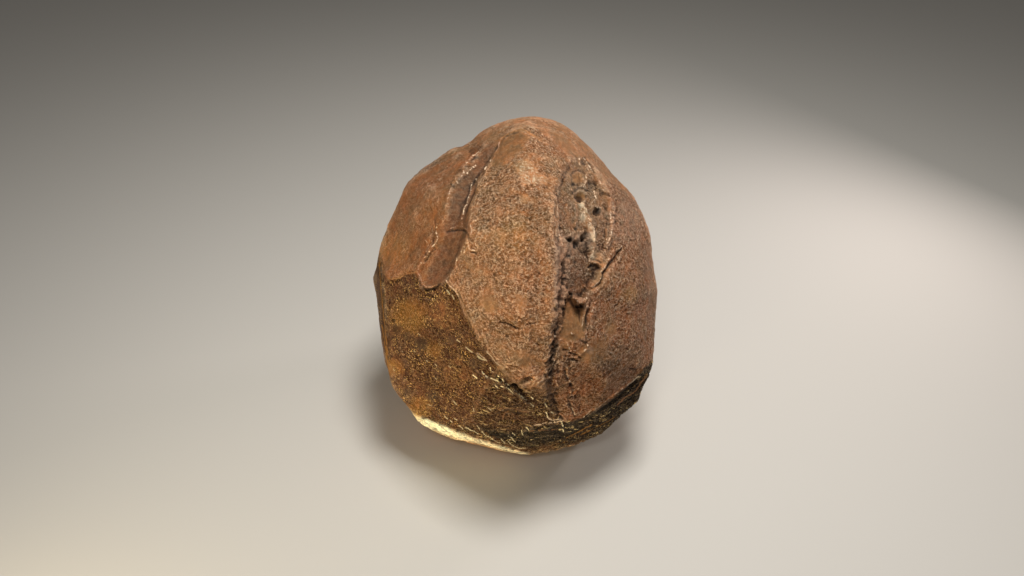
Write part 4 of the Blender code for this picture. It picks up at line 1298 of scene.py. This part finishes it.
# %% Gloss and bump
gloss = finish.ramp(tops, 0.0, 0.7, 0.62, 0.34)
smooth_bare = finish.ramp(grain_map, 0.02, 0.30, 0.20, 0.0)
dusty = finish.times(layer_map, 0.5)
rough = finish.plus(gloss, finish.plus(smooth_bare, dusty), clamp=True)
finish.feed(shader.inputs["Roughness"], rough)
shader.inputs["Specular IOR Level"].default_value = 0.22
tooth = soft_noise(430, 2, 0.7)
height = finish.plus(finish.times(tooth, 0.25), finish.times(speck, 0.7))
height = finish.minus(height, finish.times(fine, 2.2))
height = finish.minus(height, finish.times(coarse, 1.5))
pores = finish.add("ShaderNodeTexVoronoi", {"Vector": place, "Scale": 230.0}, feature="SMOOTH_F1")
pores.inputs["Smoothness"].default_value = 0.4
height = finish.minus(height, finish.times(pores.outputs["Distance"], 0.25))
height = finish.plus(height, finish.times(ridges, finish.times(layer_map, 1.2)))
roughened = finish.plus(grain_map, finish.times(crust_map, 0.5))
strength = finish.ramp(roughened, 0.0, 1.0, 0.18, 1.0)
bump = finish.add("ShaderNodeBump", {"Height": height, "Strength": strength})
bump.inputs["Distance"].default_value = 0.009
finish.feed(shader.inputs["Normal"], bump)
print(len(sandstone.node_tree.nodes), "nodes in the finish")

# %% [markdown]
# ## Crust and grain with Geometry Nodes
#
# The crust is a repeated thing: thousands of small lumps that follow the surface. Geometry Nodes
# do this well. The tree reads the painted masks, makes lumps from a Voronoi pattern and grain from
# noise, and pushes the points out along their normals. Its sizes are inputs, so the same tree could
# crust another stone. It also stores where each point stood before the push, and the finish starts
# its patterns from there.

# %% The tree's inputs and helpers
crust_tree = bpy.data.node_groups.new("stone crust", "GeometryNodeTree")
crust_tree.interface.new_socket("Geometry", in_out="INPUT", socket_type="NodeSocketGeometry")
for name, default in CRUST.items():
    socket = crust_tree.interface.new_socket(name, in_out="INPUT", socket_type="NodeSocketFloat")
    socket.default_value = default
crust_tree.interface.new_socket("Finish", in_out="INPUT", socket_type="NodeSocketMaterial")
crust_tree.interface.new_socket("Geometry", in_out="OUTPUT", socket_type="NodeSocketGeometry")
steps = Nodes(crust_tree)
given = steps.add("NodeGroupInput").outputs
here = steps.add("GeometryNodeInputPosition")
normal = steps.add("GeometryNodeInputNormal")


def mask(name):
    """One of the painted masks."""
    return steps.add("GeometryNodeInputNamedAttribute", {"Name": name}, data_type="FLOAT").outputs[0]


def noise_rise(size, height, mask_value, detail=2.0):
    """Noise about zero at that size, times a height and a mask."""
    made = steps.add("ShaderNodeTexNoise", {"Vector": here, "W": given["Seed"], "Detail": detail,
                                            "Scale": steps.over(1.0, size), "Roughness": 0.7,
                                            "Distortion": 0.4}, noise_dimensions="4D")
    centred = steps.times(steps.minus(made.outputs["Fac"], 0.5), 3.0)
    return steps.times(centred, steps.times(mask_value, height))


print("inputs:", [item.name for item in crust_tree.interface.items_tree if item.in_out == "INPUT"])

# %% Lumps, holes and chunks
crusted = mask("crust")
lumps = steps.add("ShaderNodeTexVoronoi", {"Vector": here, "W": given["Seed"],
                                           "Scale": steps.over(1.0, given["Lump Size"])},
                  voronoi_dimensions="4D", feature="SMOOTH_F1")
lumps.inputs["Smoothness"].default_value = 0.2
rounded = steps.times(steps.minus(0.50, lumps.outputs["Distance"]), 1.6)
rounded = steps.times(rounded, steps.times(crusted, given["Lump Height"]))
picked = steps.add("FunctionNodeSeparateColor", {"Color": lumps.outputs["Color"]})
in_middle = steps.ramp(lumps.outputs["Distance"], 0.5, 0.1)
in_hole = steps.times(steps.math("LESS_THAN", picked, 0.30), in_middle)
hole = steps.times(in_hole, steps.times(crusted, given["Hole Depth"]))
ragged = noise_rise(given["Lump Size"], given["Lump Height"], crusted, 4.0)
chunks = noise_rise(given["Chunk Size"], given["Chunk Height"], crusted)
print(steps.count, "nodes after the lumps")

# %% Curly grain, raised where its noise crosses its middle level
gap = curl_gap(steps, here, given["Grain Size"], given["Flatness"], given["Seed"])
curl = steps.larger(steps.times(steps.minus(0.07, gap), 10.0), -0.7)
grains = steps.times(curl, steps.times(mask("grain"), given["Grain Height"]))
print(steps.count, "nodes after the grain")

# %% Rows of thin ridges that lie level, like the beds of the stone
beds = steps.add("ShaderNodeVectorMath", {0: here, 1: (0.4, 0.4, 1.0)}, operation="MULTIPLY")
rows = steps.add("ShaderNodeTexNoise", {"Vector": beds, "W": given["Seed"], "Detail": 3.0,
                                        "Distortion": 0.8, "Scale": steps.over(1.0, given["Layer Gap"])},
                 noise_dimensions="4D")
ridged = steps.math("ABSOLUTE", steps.minus(rows.outputs["Fac"], 0.5))
ridged = steps.times(steps.minus(0.10, ridged), 8.0)
ridged = steps.times(ridged, steps.times(mask("layers"), given["Layer Height"]))
print(steps.count, "nodes after the rows")

# %% Push the points out
rise = steps.plus(steps.plus(rounded, ragged), steps.plus(chunks, grains))
rise = steps.minus(steps.plus(rise, ridged), hole)
kept = steps.add("GeometryNodeStoreNamedAttribute", {"Geometry": given["Geometry"],
                                                     "Name": "first place"},
                 data_type="FLOAT_VECTOR", domain="POINT")
steps.feed(next(socket for socket in kept.inputs if socket.name == "Value" and socket.enabled), here)
push = steps.add("ShaderNodeVectorMath", {0: normal}, operation="SCALE")
steps.feed(push.inputs["Scale"], rise)
moved = steps.add("GeometryNodeSetPosition", {"Geometry": kept, "Offset": push})
real = steps.add("GeometryNodeRealizeInstances", {"Geometry": moved})
painted = steps.add("GeometryNodeSetMaterial", {"Geometry": real, "Material": given["Finish"]})
result = steps.add("NodeGroupOutput")
steps.feed(result.inputs[0], painted)
print(len(crust_tree.nodes), "nodes in the crust tree")

# %% Crust the stone
def with_tree(mesh, tree, **values):
    """The plain mesh that a node tree makes of a mesh."""
    stone = bpy.data.objects.new("carved block", mesh)
    bpy.context.scene.collection.objects.link(stone)
    modifier = stone.modifiers.new("crust", "NODES")
    modifier.node_group = tree
    sockets = {item.name: item.identifier for item in tree.interface.items_tree if item.in_out == "INPUT"}
    for name, value in values.items():
        modifier[sockets[name]] = value
    seen = stone.evaluated_get(bpy.context.evaluated_depsgraph_get())
    made = bpy.data.meshes.new_from_object(seen)
    bpy.data.objects.remove(stone)
    return made


stone_mesh = with_tree(ball, crust_tree, **CRUST, Finish=sandstone)
print(len(stone_mesh.polygons), "triangles in the crusted stone")

# %% [markdown]
# ## Pits and edges
#
# The finish paints shade into hollows and wind polishes edges, so the finish has to know where they
# are. Each point is compared with the mean of its neighbours, taken again and again: a point below
# the smoothed surface lies in a pit, and one above it is on an edge. Two widths are measured.

# %% Measure pits and edges
NEAR_ROUNDS = 6
FAR_ROUNDS = 60
NEAR_FULL = 0.0012
FAR_PIT = 0.0060
FAR_EDGE = 0.0050


def relaxed(points, pairs, rounds):
    """The points after each has moved to the mean of its neighbours that many times."""
    count = np.bincount(pairs.ravel(), minlength=len(points))[:, None]
    for _ in range(rounds):
        total = np.zeros_like(points)
        for axis in range(3):
            total[:, axis] += np.bincount(pairs[:, 0], points[pairs[:, 1], axis], len(points))
            total[:, axis] += np.bincount(pairs[:, 1], points[pairs[:, 0], axis], len(points))
        points = (points + total / count) / 2
    return points


def measure_pits(mesh):
    """Stores on each point how deep in a pit and how far out on an edge it is."""
    points = points_of(mesh)
    pairs = np.empty(len(mesh.edges) * 2, int)
    mesh.edges.foreach_get("vertices", pairs)
    pairs = pairs.reshape(-1, 2)
    normals = np.empty(len(points) * 3)
    mesh.vertices.foreach_get("normal", normals)
    normals = normals.reshape(-1, 3)
    near = relaxed(points, pairs, NEAR_ROUNDS)
    far = relaxed(near, pairs, FAR_ROUNDS)
    near_depth = ((near - points) * normals).sum(axis=1)
    far_depth = ((far - points) * normals).sum(axis=1)
    pit = np.clip(near_depth / NEAR_FULL, 0, 1) * 0.3 + np.clip(far_depth / FAR_PIT, 0, 1)
    edge = np.clip(-near_depth / NEAR_FULL, 0, 1) * 0.6 + np.clip(-far_depth / FAR_EDGE, 0, 1) * 0.6
    store(mesh, "pit", pit)
    store(mesh, "edge", edge)
    print("pits on", round(float((pit > 0.3).mean()) * 100), "% of the points")


measure_pits(stone_mesh)

# %% [markdown]
# ## Putting the stone in its place
#
# The finished mesh stands for the solid stone. It has that stone's place already, so its object
# stays at the origin.

# %% The finished stone
stone_mesh.shade_smooth()
boulder = bpy.data.objects.new("boulder_stone", stone_mesh)
bpy.context.scene.collection.objects.link(boulder)
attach(boulder, "root")
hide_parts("boulder")
print("materials", [material.name for material in stone_mesh.materials])
